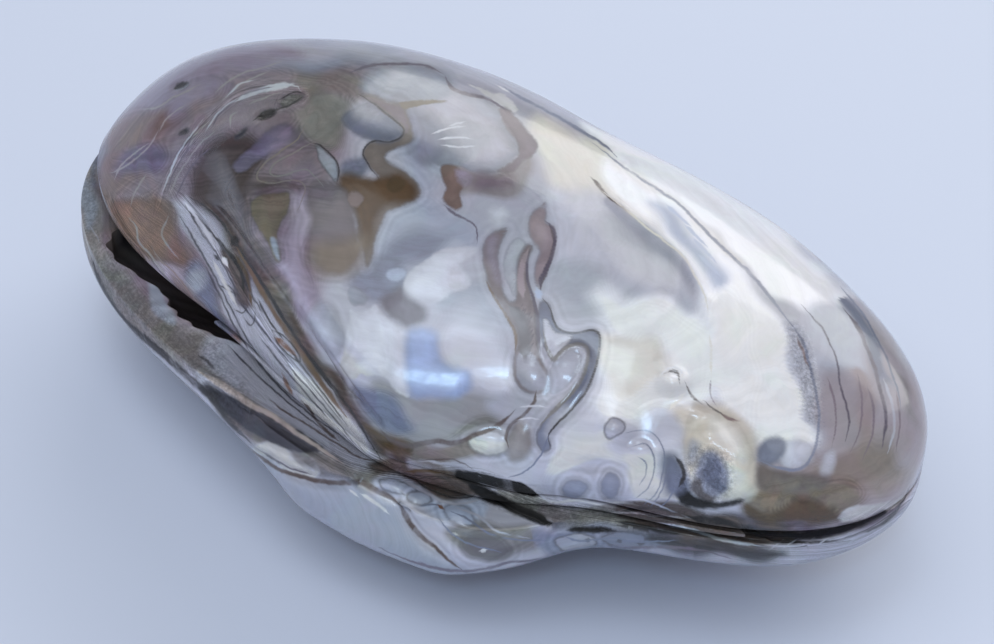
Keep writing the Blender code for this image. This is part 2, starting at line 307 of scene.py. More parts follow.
# Soft areas in painting order: name, shade, softness of the edge, and one or more outlines.
FIELDS = (
    ("beak side", "mauve", 18, (60,150, 110,90, 170,40, 300,20, 400,60, 352,95, 345,140, 340,180, 330,230,
     312,300, 260,330, 180,330, 90,280, 50,220)),
    ("beak rim", "slate", 9, (78,195, 100,135, 150,75, 205,42, 300,28, 300,46, 222,58, 178,88, 128,136,
     100,190)),
    ("top rim", "steel", 9, (245,40, 330,36, 420,48, 470,66, 400,60, 350,68, 300,72, 255,62)),
    ("top sheen", "ash", 9, (250,44, 330,40, 420,52, 470,66, 440,68, 380,60, 320,60, 270,64)),
    ("nape light", "lilac mist", 10, (110,100, 150,66, 200,46, 250,42, 300,52, 280,66, 220,74, 170,100,
     130,140)),
    ("beak band", "rosewood", 9, (108,120, 150,112, 186,98, 222,84, 216,100, 190,112, 176,128, 160,150,
     148,172, 120,190, 100,190)),
    ("beak blue", "lilac mist", 9, (170,100, 186,84, 210,78, 232,80, 214,96, 190,108, 172,118)),
    ("brown slope", "cocoa", 9, (100,190, 128,205, 166,196, 180,232, 200,276, 226,320, 205,322, 160,282,
     122,244)),
    ("violet spot", "violet", 7, (120,152, 150,146, 166,152, 160,168, 140,176, 118,172)),
    ("violet nape", "violet", 8, (200,122, 232,112, 240,124, 226,146, 206,158, 192,166, 190,146)),
    # Painted shade: the dark part of the dome right of the ridge, where it shows the dark of the room.
    ("dark hollow", "hollow", 10, (200,172, 214,150, 250,138, 264,160, 250,192, 252,226, 266,262, 272,292,
     252,286, 232,250, 212,222, 198,198)),
    ("dark bar", "sepia", 9, (258,182, 300,182, 330,186, 344,186, 338,200, 300,190, 262,194)),
    ("plum shade", "plum", 8, (262,150, 300,122, 345,104, 345,132, 330,150, 316,145, 296,148)),
    ("grey shade", "stone", 8, (300,92, 340,96, 352,104, 344,132, 334,152, 318,142, 300,126, 292,110)),
    ("brown brow", "taupe", 8, (298,74, 330,72, 362,76, 364,90, 352,98, 318,96, 300,92)),
    ("slate spot", "slate", 5, (342,164, 362,154, 368,166, 362,178, 346,178)),
    ("lilac field", "lilac", 9, (292,204, 306,190, 318,200, 312,224, 306,246, 306,272, 320,290, 316,306,
     300,322, 288,310, 284,288, 266,270, 286,260, 290,232)),
    ("blue field", "bluegrey", 12, (384,216, 424,194, 446,168, 424,148, 396,154, 420,186, 450,212, 478,236,
     470,250, 428,258, 408,272, 400,290, 374,276)),
    ("crown shade", "slate", 8, (402,124, 420,118, 440,126, 442,142, 430,158, 414,152)),
    ("blue shade", "steel", 10, (404,236, 430,228, 452,238, 440,250, 418,262, 396,270, 384,256)),
    ("lower blue shade", "steel", 9, (352,272, 384,264, 400,282, 392,300, 372,300, 352,290)),
    ("mist under cloud", "mist", 10, (446,292, 476,286, 498,306, 512,330, 470,320, 440,306)),
    ("dome", "pearl", 14, (428,330, 470,306, 506,330, 512,376, 504,404, 460,402, 420,404)),
    # Lighter nacre on the dome, partly its own colour and partly a painted reflection of the bright room.
    ("dome light", "chalk", 9, (444,330, 470,326, 500,340, 512,366, 508,388, 480,386, 456,366)),
    ("crown", "ash", 12, (412,132, 450,108, 496,112, 516,144, 490,168, 450,160)),
    # Painted reflection: a darker olive band low on the dome, where it shows the dark part of the room.
    ("olive shore", "moss", 9, (372,388, 404,402, 444,404, 504,402, 516,412, 492,428, 452,438, 412,440,
     384,428, 352,392)),
    # The same painted reflection of the dark room, on the slope below.
    ("olive slope", "lichen", 7, (368,382, 380,378, 400,392, 440,396, 480,393, 500,396, 508,404, 480,420,
     440,438, 420,442, 392,430, 378,408)),
    ("blue-grey patch", "slate", 7, (352,384, 380,392, 404,412, 412,432, 394,434, 366,408)),
    ("mauve foot", "stone", 7, (396,440, 430,446, 468,444, 462,460, 424,460, 402,452)),
    ("rim band", "taupe", 4, (382,434, 400,443, 440,445, 478,438, 486,450, 470,459, 440,462, 410,460,
     390,450)),
    ("cream shoulder", "cream", 10, (536,118, 600,142, 640,172, 690,212, 740,262, 700,250, 640,216, 600,196,
     560,190, 540,160)),
    ("chalk flank", "chalk", 12, (552,190, 600,200, 610,260, 604,330, 560,326, 548,290, 556,250)),
    ("blue flank", "haze", 9, (545,262, 600,268, 606,316, 572,324, 552,306)),
    ("inner flank", "snow", 12, (652,268, 690,290, 706,320, 712,360, 700,404, 664,400, 636,364, 632,310)),
    ("white flank", "snow", 16, (600,290, 700,330, 704,400, 660,410, 600,420, 606,340)),
    ("cream flank", "cream", 9, (600,336, 660,340, 664,376, 620,400, 604,380)),
    ("depression", "nacre", 7, (596,214, 632,220, 664,246, 688,272, 700,300, 690,312, 664,296, 624,292,
     600,262)),
    # Painted shade along the edge of the dent in the dome.
    ("depression shade", "ash", 7, (604,216, 632,221, 662,244, 686,268, 698,290, 670,270, 630,240)),
    ("outer crest", "snow", 5, (590,96, 700,150, 800,226, 862,292, 846,306, 812,312, 770,290, 720,238,
     660,190, 606,152, 584,120)),
    ("outer shade", "nacre", 7, (790,236, 830,250, 880,310, 900,350, 884,350, 856,300, 820,268)),
    ("white band", "snow", 7, (604,158, 640,180, 690,216, 730,258, 770,306, 796,352, 808,400, 812,444,
     770,446, 724,412, 712,350, 702,292, 676,246, 640,214, 610,184)),
    ("blue brush", "ice", 7, (650,200, 690,228, 716,262, 726,282, 712,286, 690,252, 664,226)),
    ("cream band", "snow", 14, (712,300, 740,300, 756,360, 752,420, 716,400)),
    ("feather shade", "nacre", 3, (782,324, 796,320, 808,340, 816,380, 820,420, 806,424, 800,400, 792,372,
     786,346)),
    # Lighter nacre at the right end above the crisp line, partly its own colour and partly a painted
    # reflection.
    ("grey end", "nacre", 6, (806,318, 832,300, 862,340, 876,378, 850,366, 828,364, 820,420, 818,400)),
    ("brown end", "dusk", 8, (846,300, 886,320, 930,420, 920,500, 860,530, 770,504, 756,446, 822,446,
     840,372, 868,376, 862,340)),
    ("end stripe d", "fawn", 3, (896,370, 910,396, 920,440, 910,450, 906,410)),
    ("end stripe c", "blush", 3, (850,372, 866,376, 876,412, 870,450, 856,452, 858,412)),
    ("end stripe b", "ash", 3, (826,372, 838,372, 846,400, 846,430, 836,452, 828,446, 830,412)),
    ("end stripe a", "steel", 3, (840,300, 852,300, 874,338, 890,376, 896,412, 888,412, 876,372, 860,336)),
    ("end brown", "end brown", 14, (800,470, 840,452, 880,440, 915,430, 918,462, 904,488, 870,504, 820,508,
     780,504)),
    ("khaki end", "walnut", 10, (748,486, 770,480, 800,480, 830,480, 856,486, 862,502, 846,514, 820,518,
     790,518, 760,512, 742,502)),
    ("lilac and rose end", "dusk", 8, (818,372, 850,376, 860,420, 846,450, 822,440), (882,380, 904,400,
     922,440, 912,470, 892,450)),
    ("dark end foot", "bistre", 6, (740,502, 770,508, 800,500, 836,506, 842,518, 800,528, 750,522)),
    ("grey foot", "chalk", 9, (556,446, 620,452, 672,440, 690,470, 690,504, 630,496, 560,492)),
    ("slate foot", "mist", 7, (660,456, 680,462, 696,490, 690,502, 672,492)),
    ("beige lump", "beige", 8, (676,404, 740,414, 756,450, 750,490, 730,452, 694,444)),
    ("lilac foot", "ash", 8, (486,400, 540,396, 548,420, 530,470, 490,466, 512,430)),
    ("chalk foot", "chalk", 8, (560,424, 600,416, 606,446, 580,462, 556,452)),
    ("ledge", "fawn", 4, (78,196, 84,172, 92,166, 94,190, 104,222, 106,250, 128,278, 150,306, 180,326,
     204,336, 226,346, 250,362, 280,392, 304,424, 262,412, 230,394, 200,374, 160,350, 120,322, 96,284,
     82,240)),
    ("ledge top", "mist", 4, (78,190, 88,174, 95,212, 90,232, 80,214)),
    ("brown ledge", "stone", 7, (92,262, 116,268, 150,308, 190,334, 226,350, 214,372, 180,360, 130,326,
     100,290)),
    ("rough blue strip", "mist", 3, (146,284, 156,282, 170,304, 172,322, 156,312)),
    ("rust edge", "rust", 3, (182,314, 206,318, 238,336, 232,345, 196,330)),
    ("brown ledge strip", "taupe", 5, (206,386, 232,398, 270,414, 320,448, 300,446, 262,444, 236,430,
     214,408)),
    ("slope lilac", "lilac", 7, (150,266, 172,262, 196,282, 200,306, 180,304, 160,288)),
    ("slope blue", "slate", 7, (184,266, 204,270, 228,318, 226,336, 200,316)),
    ("slope teal", "mist", 5, (188,270, 200,272, 204,288, 192,290)),
    ("hinge wedge", "ash", 5, (226,336, 250,350, 290,392, 330,430, 372,456, 356,474, 318,452, 276,418,
     240,390, 212,370, 204,342)),
    ("ridge", "ash", 3, (168,197, 187,230, 207,270, 220,297, 237,330, 262,356, 290,390, 318,424, 345,450,
     366,458, 376,456, 368,438, 352,414, 336,392, 320,370, 302,346, 292,328, 267,290, 247,263, 227,230,
     190,197, 180,192)),
    ("ridge column", "sepia", 4, (224,246, 240,254, 252,282, 252,306, 238,298, 226,276)),
    ("ridge light", "chalk", 6, (296,370, 330,394, 370,440, 362,450, 330,426, 300,398)),
    # Painted shadow on the dome where it curves down beside the ridge crest.
    ("dome shade", "sepia", 6, (192,190, 214,190, 236,212, 256,240, 274,268, 294,300, 304,330, 326,358,
     346,386, 368,414, 392,442, 400,452, 380,458, 362,436, 346,412, 330,390, 314,370, 292,344, 276,318,
     262,290, 244,264, 226,234, 204,212, 190,200)),
    # Painted shade at the foot of the ridge, where the dome rises from it.
    ("ridge foot shade", "bistre", 5, (364,424, 390,432, 408,446, 410,458, 392,456)),
    ("layered grey", "stone", 5, (276,448, 310,446, 345,462, 400,474, 420,480, 400,490, 350,482, 310,474)),
    ("dark hinge patch", "sepia", 4, (370,460, 405,460, 408,474, 380,474)),
    ("white lobes", "chalk", 3, (252,446, 272,442, 300,462, 322,474, 312,479, 284,470, 262,458)),
    ("brown layers", "sepia", 5, (404,468, 452,470, 484,484, 484,498, 450,500, 412,486)),
    ("gritty strip", "stone", 4, (496,486, 560,504, 640,504, 700,510, 700,532, 640,530, 560,526, 510,508)),
    ("gritty brown", "taupe", 5, (630,508, 690,510, 700,526, 640,526)),
    ("under groove", "mist", 8, (238,446, 300,476, 356,488, 392,506, 420,542, 466,574, 420,580, 340,556,
     270,496)),
    ("blue lobes", "ice", 5, (376,478, 410,482, 440,500, 484,504, 474,528, 440,516, 400,500, 380,490)),
    ("olive shadow", "stone", 6, (450,526, 530,526, 534,552, 470,558)),
    ("lip", "steel", 6, (540,530, 680,530, 760,548, 700,556, 640,552, 560,560)),
    ("right lip", "ash", 4, (776,540, 850,536, 900,506, 926,466, 930,500, 886,540, 800,566)),
    ("dark rim", "plum", 4, (690,512, 720,514, 790,524, 850,524, 896,500, 900,508, 862,532, 790,534,
     700,526)),
    ("brown rim", "sepia", 5, (660,534, 720,540, 770,550, 766,558, 700,548, 660,542)),
    ("wrinkled band", "mauve", 6, (158,196, 166,176, 178,152, 196,126, 226,98, 250,84, 292,80, 306,90,
     300,104, 262,120, 240,138, 206,158, 190,184, 176,200)),
    ("brown patch side", "fawn", 5, (452,166, 480,174, 505,170, 522,158, 531,166, 527,190, 500,196, 470,196,
     454,190)),
    ("seam shade", "sepia", 4, (636,504, 680,506, 740,520, 800,534, 790,546, 720,542, 660,532, 636,524)),
    # Painted shade around the two oval mounds.
    ("oval shade", "ash", 8, (548,476, 580,466, 620,458, 632,476, 628,502, 580,504, 550,502)),
    # More painted shade on the dome right of the ridge.
    ("sill", "hollow", 9, (200,152, 230,136, 252,132, 250,150, 232,176, 228,206, 240,240, 258,270, 246,262,
     224,232, 204,206, 194,184)),
    ("lip dark", "soot", 5, (656,536, 700,541, 760,549, 786,556, 770,560, 700,554, 650,545)),
)

# Patches in painting order: name, shade, softness of the edge, strength of the outline and of the rings
# around it, and one or more outlines.
PATCHES = (
    ("crown", "mist", 2.4, 0.3, 0.2, (363,88, 371,82, 375,79, 377,73, 387,68, 411,66, 431,70, 447,81,
     450,88, 457,92, 480,98, 496,105, 503,110, 501,118, 509,129, 519,140, 521,149, 518,155, 507,164,
     497,173, 484,174, 469,170, 459,166, 440,166, 424,152, 413,142, 411,127, 406,110, 400,104, 388,102,
     369,94)),
    ("crown side", "smoke", 7, 0, 0, (400,116, 416,112, 438,120, 448,134, 444,154, 428,166, 410,156,
     402,138)),
    ("crown bulk", "pearl", 8, 0, 0, (380,76, 420,74, 446,84, 470,104, 498,122, 514,146, 504,160, 480,166,
     460,158, 446,132, 424,112, 396,98)),
    ("crown top", "mist", 8, 0, 0, (362,84, 378,69, 430,66, 452,80, 446,98, 400,102, 370,96)),
    ("brown hooks", "taupe", 2.2, 0.4, 0.3, (*LOBE_EDGE, 366,180, 352,183, 341,186, 340,195, 351,210,
     357,222, 356,236, 361,244, 364,256, 367,268, 372,260, 373,250, 376,237, 380,227, 385,215, 391,210,
     400,206, 412,200, 421,194, 417,184, 409,175, 400,169, 388,162, 384,157, 387,153, 399,147, 412,141,
     413,131, 408,117, 406,110, 400,104, 388,102, 379,98, 369,94)),
    ("hook core", "bronze", 6, 0, 0, (340,174, 372,178, 400,174, 418,190, 412,202, 392,204, 378,214,
     372,244, 362,246, 356,214, 342,202)),
    ("brown patch", "russet", 1.8, 0.3, 0.1, (441,167, 448,164, 456,166, 462,172, 464,184, 460,196, 462,206,
     456,211, 448,206, 443,198, 446,188, 442,178)),
    ("brown strip", "mauve", 1.6, 0.4, 0, (501,112, 507,115, 512,122, 521,130, 530,138, 533,148, 527,153,
     521,152, 518,143, 511,135, 504,124)),
    ("purple patch", "violet", 2, 0.3, 0.3, (233,165, 235,170, 241,172, 249,168, 259,160, 270,151, 280,143,
     288,136, 292,130, 290,126, 285,125, 278,126, 269,130, 259,139, 250,149, 240,156)),
    ("purple light", "lavender", 6, 0, 0, (256,146, 278,127, 290,128, 290,138, 276,150, 260,156)),
    ("drop", "drop grey", 1.8, 0.5, 0.3, (251,203, 254,198, 262,194, 275,193, 287,191, 290,196, 289,208,
     284,218, 278,231, 277,243, 280,252, 281,258, 279,262, 274,259, 269,247, 264,237, 257,227, 252,215)),
    ("bean", "taupe", 6, 0, 0.2, (267,284, 276,281, 284,287, 291,292, 293,298, 290,304, 291,312, 286,312,
     278,302)),
    ("grey fold", "fold", 4, 0.25, 0.4, (307,196, 316,184, 330,184, 344,190, 352,204, 356,222, 358,244,
     352,262, 340,272, 322,270, 312,256, 308,238, 312,220, 308,208)),
    ("fold foot", "walnut", 12, 0, 0, (314,246, 340,240, 366,236, 366,256, 356,270, 340,278, 318,272)),
    ("cloud shade", "steel", 8, 0, 0, (372,262, 392,256, 402,270, 404,286, 392,292, 378,284)),
    ("first cloud", "chalk", 2.4, 0, 0, (403,284, 408,275, 416,267, 427,260, 437,252, 448,248, 460,248,
     476,247, 477,252, 467,260, 460,264, 463,270, 468,276, 471,282, 469,287, 459,290, 451,292, 445,298,
     437,302, 427,304, 417,303, 409,299, 404,292)),
    ("second cloud", "chalk", 1.8, 0, 0, (349,309, 356,311, 364,311, 371,308, 375,305, 379,308, 385,315,
     392,322, 400,326, 407,328, 412,350, 412,372, 410,396, 400,394, 393,388, 388,379, 376,376, 368,376,
     361,374, 357,378, 351,379, 345,375, 340,368, 341,361, 344,351, 345,338, 347,328, 350,318)),
    ("dark spot", "plum", 6, 0, 0, (380,300, 385,295, 393,291, 401,287, 405,294, 412,299, 419,303, 425,308,
     427,315, 423,322, 413,327, 405,327, 396,322, 388,316, 382,309)),
    ("first river", "river", 2.4, 0.5, 0.2, (507,229, 496,232, 488,238, 484,246, 484,262, 487,280, 492,292,
     499,303, 508,317, 514,328, 518,342, 516,352, 514,360, 513,370, 515,379, 521,388, 530,393, 540,393,
     548,391, 549,380, 545,368, 540,355, 539,345, 538,332, 537,318, 534,304, 532,295, 528,281, 527,268,
     528,257, 532,247, 525,245, 520,254, 517,262, 516,274, 516,286, 517,297, 513,302, 507,298, 502,287,
     499,271, 497,258, 499,248, 502,240)),
    ("river mist", "lilac", 6, 0, 0, (488,240, 498,236, 496,252, 498,268, 502,284, 496,282, 490,268,
     487,252)),
    ("last river", "rosewater", 2.4, 0.4, 0.15, (529,230, 530,218, 534,210, 541,207, 545,203, 546,214,
     546,222, 553,227, 555,234, 555,245, 552,258, 547,270, 542,279, 541,289, 537,287, 534,275, 537,262,
     540,252, 535,244, 531,238)),
    ("hook", "steel", 2, 0.8, 0.35, (541,302, 548,303, 552,314, 556,325, 562,331, 572,333, 582,332, 590,330,
     597,331, 600,338, 599,352, 596,366, 590,384, 583,396, 572,409, 558,423, 549,436, 551,447, 543,452,
     537,440, 541,425, 553,413, 565,400, 577,388, 584,375, 588,360, 588,350, 584,345, 575,344, 566,348,
     560,354, 553,361, 548,353, 543,343, 540,330, 538,315)),
    ("oval blister", "pearl", 1, 0.9, 0, (604,430, 606,423, 613,418, 621,420, 626,425, 623,431, 617,436,
     610,439, 605,436)),
    ("blue bulb", "chalk", 4, 0.2, 0.2, (778,446, 786,441, 800,440, 811,446, 812,458, 806,466, 796,470,
     784,467, 777,457)),
    ("grey lump", "steel", 4, 0, 0, (758,450, 764,440, 774,436, 784,440, 786,450, 778,462, 768,466,
     758,462)),
    ("hook spot", "bistre", 2, 0, 0, (386,184, 392,178, 400,178, 405,183, 402,190, 395,193, 388,190)),
    ("rose spot", "rose", 1.6, 0.2, 0, (348,196, 352,191, 358,193, 363,197, 361,203, 355,207, 349,204)),
    ("crown edge", "mauve", 2, 0, 0.2, (364,97, 378,100, 392,104, 402,108, 406,118, 409,128, 406,134,
     403,124, 391,114, 378,104)),
    ("lobed island", "lobe", 3.5, 0.5, 0.1, (343,120, 348,113, 362,106, 370,104, 381,112, 396,120, 402,132,
     398,139, 388,141, 376,140, 364,136, 350,129)),
    ("lobe shade", "slate", 6, 0, 0, (346,114, 360,122, 376,130, 392,136, 386,142, 366,138, 348,128)),
    # A painted highlight on top of the lobed island.
    ("island top", "ash", 6, 0, 0, (356,106, 368,104, 380,112, 382,118, 368,116, 356,114)),
    ("blue sliver", "mist", 1.4, 0.9, 0, (316,144, 321,147, 331,156, 336,162, 338,173, 336,181, 329,175,
     322,166, 318,156)),
    ("drop tip", "mist", 2, 0, 0, (270,238, 276,240, 279,254, 279,260, 273,252)),
    ("olive wedge", "khaki", 1.2, 0, 0, (399,103, 410,101, 430,100, 449,101, 430,104, 413,107, 405,109)),
    ("lilac patch", "lilac", 3, 0, 0, (456,169, 468,172, 474,178, 470,186, 463,186, 457,178)),
    ("red-brown patch", "mauve", 8, 0, 0, (476,172, 496,174, 510,172, 512,184, 490,190, 474,188)),
    ("river channel", "haze", 3, 0.3, 0, (515,239, 523,240, 525,245, 519,255, 517,265, 516,285, 514,296,
     510,287, 505,276, 504,262, 508,248)),
    ("wedge patch", "chalk", 1.2, 0.6, 0, (543,320, 549,322, 554,331, 562,334, 573,335, 571,340, 565,346,
     559,353, 553,360, 548,351, 545,340)),
    ("inner bulb", "ash", 2, 0.3, 0.3, (553,364, 560,358, 567,352, 575,350, 580,353, 582,360, 580,368,
     575,377, 567,386, 558,392, 550,393, 549,378)),
    ("lower bulb", "ash", 2, 0.2, 0.3, (518,353, 524,350, 530,352, 536,358, 541,366, 546,374, 548,384,
     545,390, 538,392, 530,391, 522,385, 517,377, 515,366)),
    ("small cloud", "mist", 2.5, 0.2, 0, (348,290, 354,287, 366,294, 369,299, 362,304, 351,304)),
    ("cloud lobe", "ice", 2, 0, 0, (385,274, 391,270, 400,268, 405,271, 404,278, 397,282, 389,279)),
    ("lilac lobe", "ash", 3, 0.2, 0.2, (310,320, 313,310, 319,303, 326,302, 334,307, 339,317, 342,327,
     344,338, 340,352, 334,356, 322,348, 314,334)),
    ("white wedge", "white", 1.2, 0, 0, (467,84, 480,88, 493,93, 502,94, 513,102, 518,110, 511,112, 501,105,
     492,99, 480,91)),
    ("chalk spot", "chalk", 5, 0, 0, (488,210, 496,205, 506,208, 508,218, 498,226, 490,220)),
    ("cream lump", "beige", 5, 0.1, 0, (696,402, 710,410, 730,418, 744,434, 752,452, 757,470, 755,494,
     740,502, 722,500, 700,498, 690,478, 684,452, 686,426)),
    ("lump glow", "ivory", 7, 0, 0, (712,416, 728,422, 740,438, 748,456, 742,462, 730,448, 718,440,
     708,430)),
    ("lump side", "ash", 6, 0, 0, (692,440, 700,446, 698,458, 690,466, 686,456)),
    ("lump pit", "smoke", 5, 0, 0, (698,458, 706,450, 716,452, 724,462, 730,478, 726,492, 712,500, 700,492,
     694,476)),
    ("pit core", "slate", 3, 0, 0, (706,462, 714,456, 722,468, 720,480, 728,488, 716,492, 708,484,
     702,474)),
    ("pit edge", "shale", 3, 0, 0, (696,478, 702,480, 704,492, 716,498, 710,504, 698,498, 690,488)),
    ("black corner", "black", 2.4, 0, 0, (674,488, 680,482, 688,490, 700,498, 720,502, 742,498, 742,503,
     720,508, 696,508, 680,503)),
    ("white lump", "chalk", 2, 0.6, 0.4, (468,438, 482,432, 500,433, 511,443, 506,452, 490,456, 474,450)),
    ("olive lump", "fawn", 4, 0.1, 0.2, (510,430, 520,421, 530,430, 532,446, 524,458, 512,460, 506,448)),
    ("ovals", "smoke", 2.4, 0.5, 0.5, (562,489, 568,481, 580,480, 587,486, 584,494, 574,498, 565,496),
     (601,488, 606,474, 615,474, 620,484, 616,496, 607,499)),
    ("blue lobes", "ice", 1.3, 0.9, 0.5, (380,480, 398,480, 412,487, 417,492, 410,495, 398,494, 385,490),
     (410,493, 424,492, 432,500, 420,505, 408,500)),
    ("third blue lobe", "ice", 2, 0.6, 0.5, (445,508, 456,504, 470,510, 472,524, 458,524, 447,517)),
    ("rim glint", "snow", 2, 0, 0, (842,512, 853,506, 872,505, 890,501, 903,496, 893,508, 876,514, 862,521,
     848,522, 838,520)),
    ("slits", "black", 1.8, 0, 0, (452,471, 470,471, 490,474, 508,479, 520,481, 531,487, 541,495, 531,497,
     516,493, 501,489, 486,487, 470,484, 458,479), (468,485, 478,484, 488,488, 498,494, 510,500, 520,505,
     533,509, 543,515, 550,521, 562,525, 580,527, 600,527, 628,530, 600,533, 575,532, 555,529, 540,524,
     527,519, 515,513, 503,508, 492,504, 480,498)),
    ("under tan", "ink", 2.5, 0, 0.4, (204,384, 232,396, 262,408, 290,424, 316,441, 322,451, 300,453,
     278,446, 252,434, 228,416, 212,400)),
    # A painted window reflection: a blue tint on the dome, under the real reflections of the two pane lights.
    ("blue sheen", "dusk blue", 6, 0, 0, (407,332, 436,332, 438,348, 446,364, 470,372, 470,388, 456,398,
     430,397, 408,391)),
    ("first cavity", "soot", 1.4, 0.6, 0.08, (257,118, 262,112, 270,109, 276,111, 272,116, 264,120)),
    ("second cavity", "grit", 1.4, 0.6, 0.08, (280,104, 284,98, 292,94, 303,94, 301,100, 294,104, 285,107)),
    ("pits", "ink", 1.4, 0.6, 0.08, (174,89, 178,84, 187,82, 188,86, 182,90), (179,135, 183,129, 189,128,
     187,133), (234,138, 240,131, 247,128, 245,134, 238,139)),
    ("lip lobe", "ash", 1.6, 0.9, 0.5, (556,540, 574,534, 590,536, 596,544, 580,552, 562,550)),
    ("second lip lobe", "steel", 1.6, 0.9, 0.5, (602,538, 622,532, 644,536, 640,546, 618,548)),
    # Painted shade in the hollow below the seam.
    ("olive hollow", "shale", 9, 0, 0.5, (462,540, 480,532, 500,540, 510,552, 490,558, 468,554)),
    ("white streak", "chalk", 4, 0, 0, (826,456, 834,451, 835,464, 829,476, 822,482, 820,470)),
    ("third slit bed", "sepia", 3, 0, 0, (616,506, 640,500, 664,504, 690,514, 690,526, 660,522, 636,520,
     618,516)),
    ("foot shade", "slate", 6, 0, 0, (664,458, 676,454, 684,470, 688,486, 676,496, 664,490)),
    ("lump foot", "taupe", 5, 0, 0, (758,464, 774,468, 800,474, 830,476, 820,490, 790,494, 760,490)),
    ("right gap", "ink", 2.4, 0, 0, (744,524, 770,530, 800,532, 836,526, 866,518, 884,510, 884,516, 860,528,
     820,538, 780,538, 750,534)),
    ("bark patch", "bark", 5, 0.1, 0.3, (112,206, 124,200, 142,200, 160,206, 172,222, 180,244, 184,262,
     172,262, 158,258, 140,250, 122,232)),
    ("rim rose", "rose", 5, 0, 0, (172,276, 184,284, 200,300, 212,316, 204,316, 190,302, 176,288)),
    ("crown border", "mauve", 2, 0.4, 0, (500,108, 509,110, 524,127, 537,143, 534,154, 523,160, 515,170,
     505,172, 498,171, 509,165, 519,154, 517,141, 510,127, 501,116)),
    ("hook tail", "ash", 5, 0, 0, (556,408, 572,404, 577,412, 562,428, 550,440, 545,430)),
)

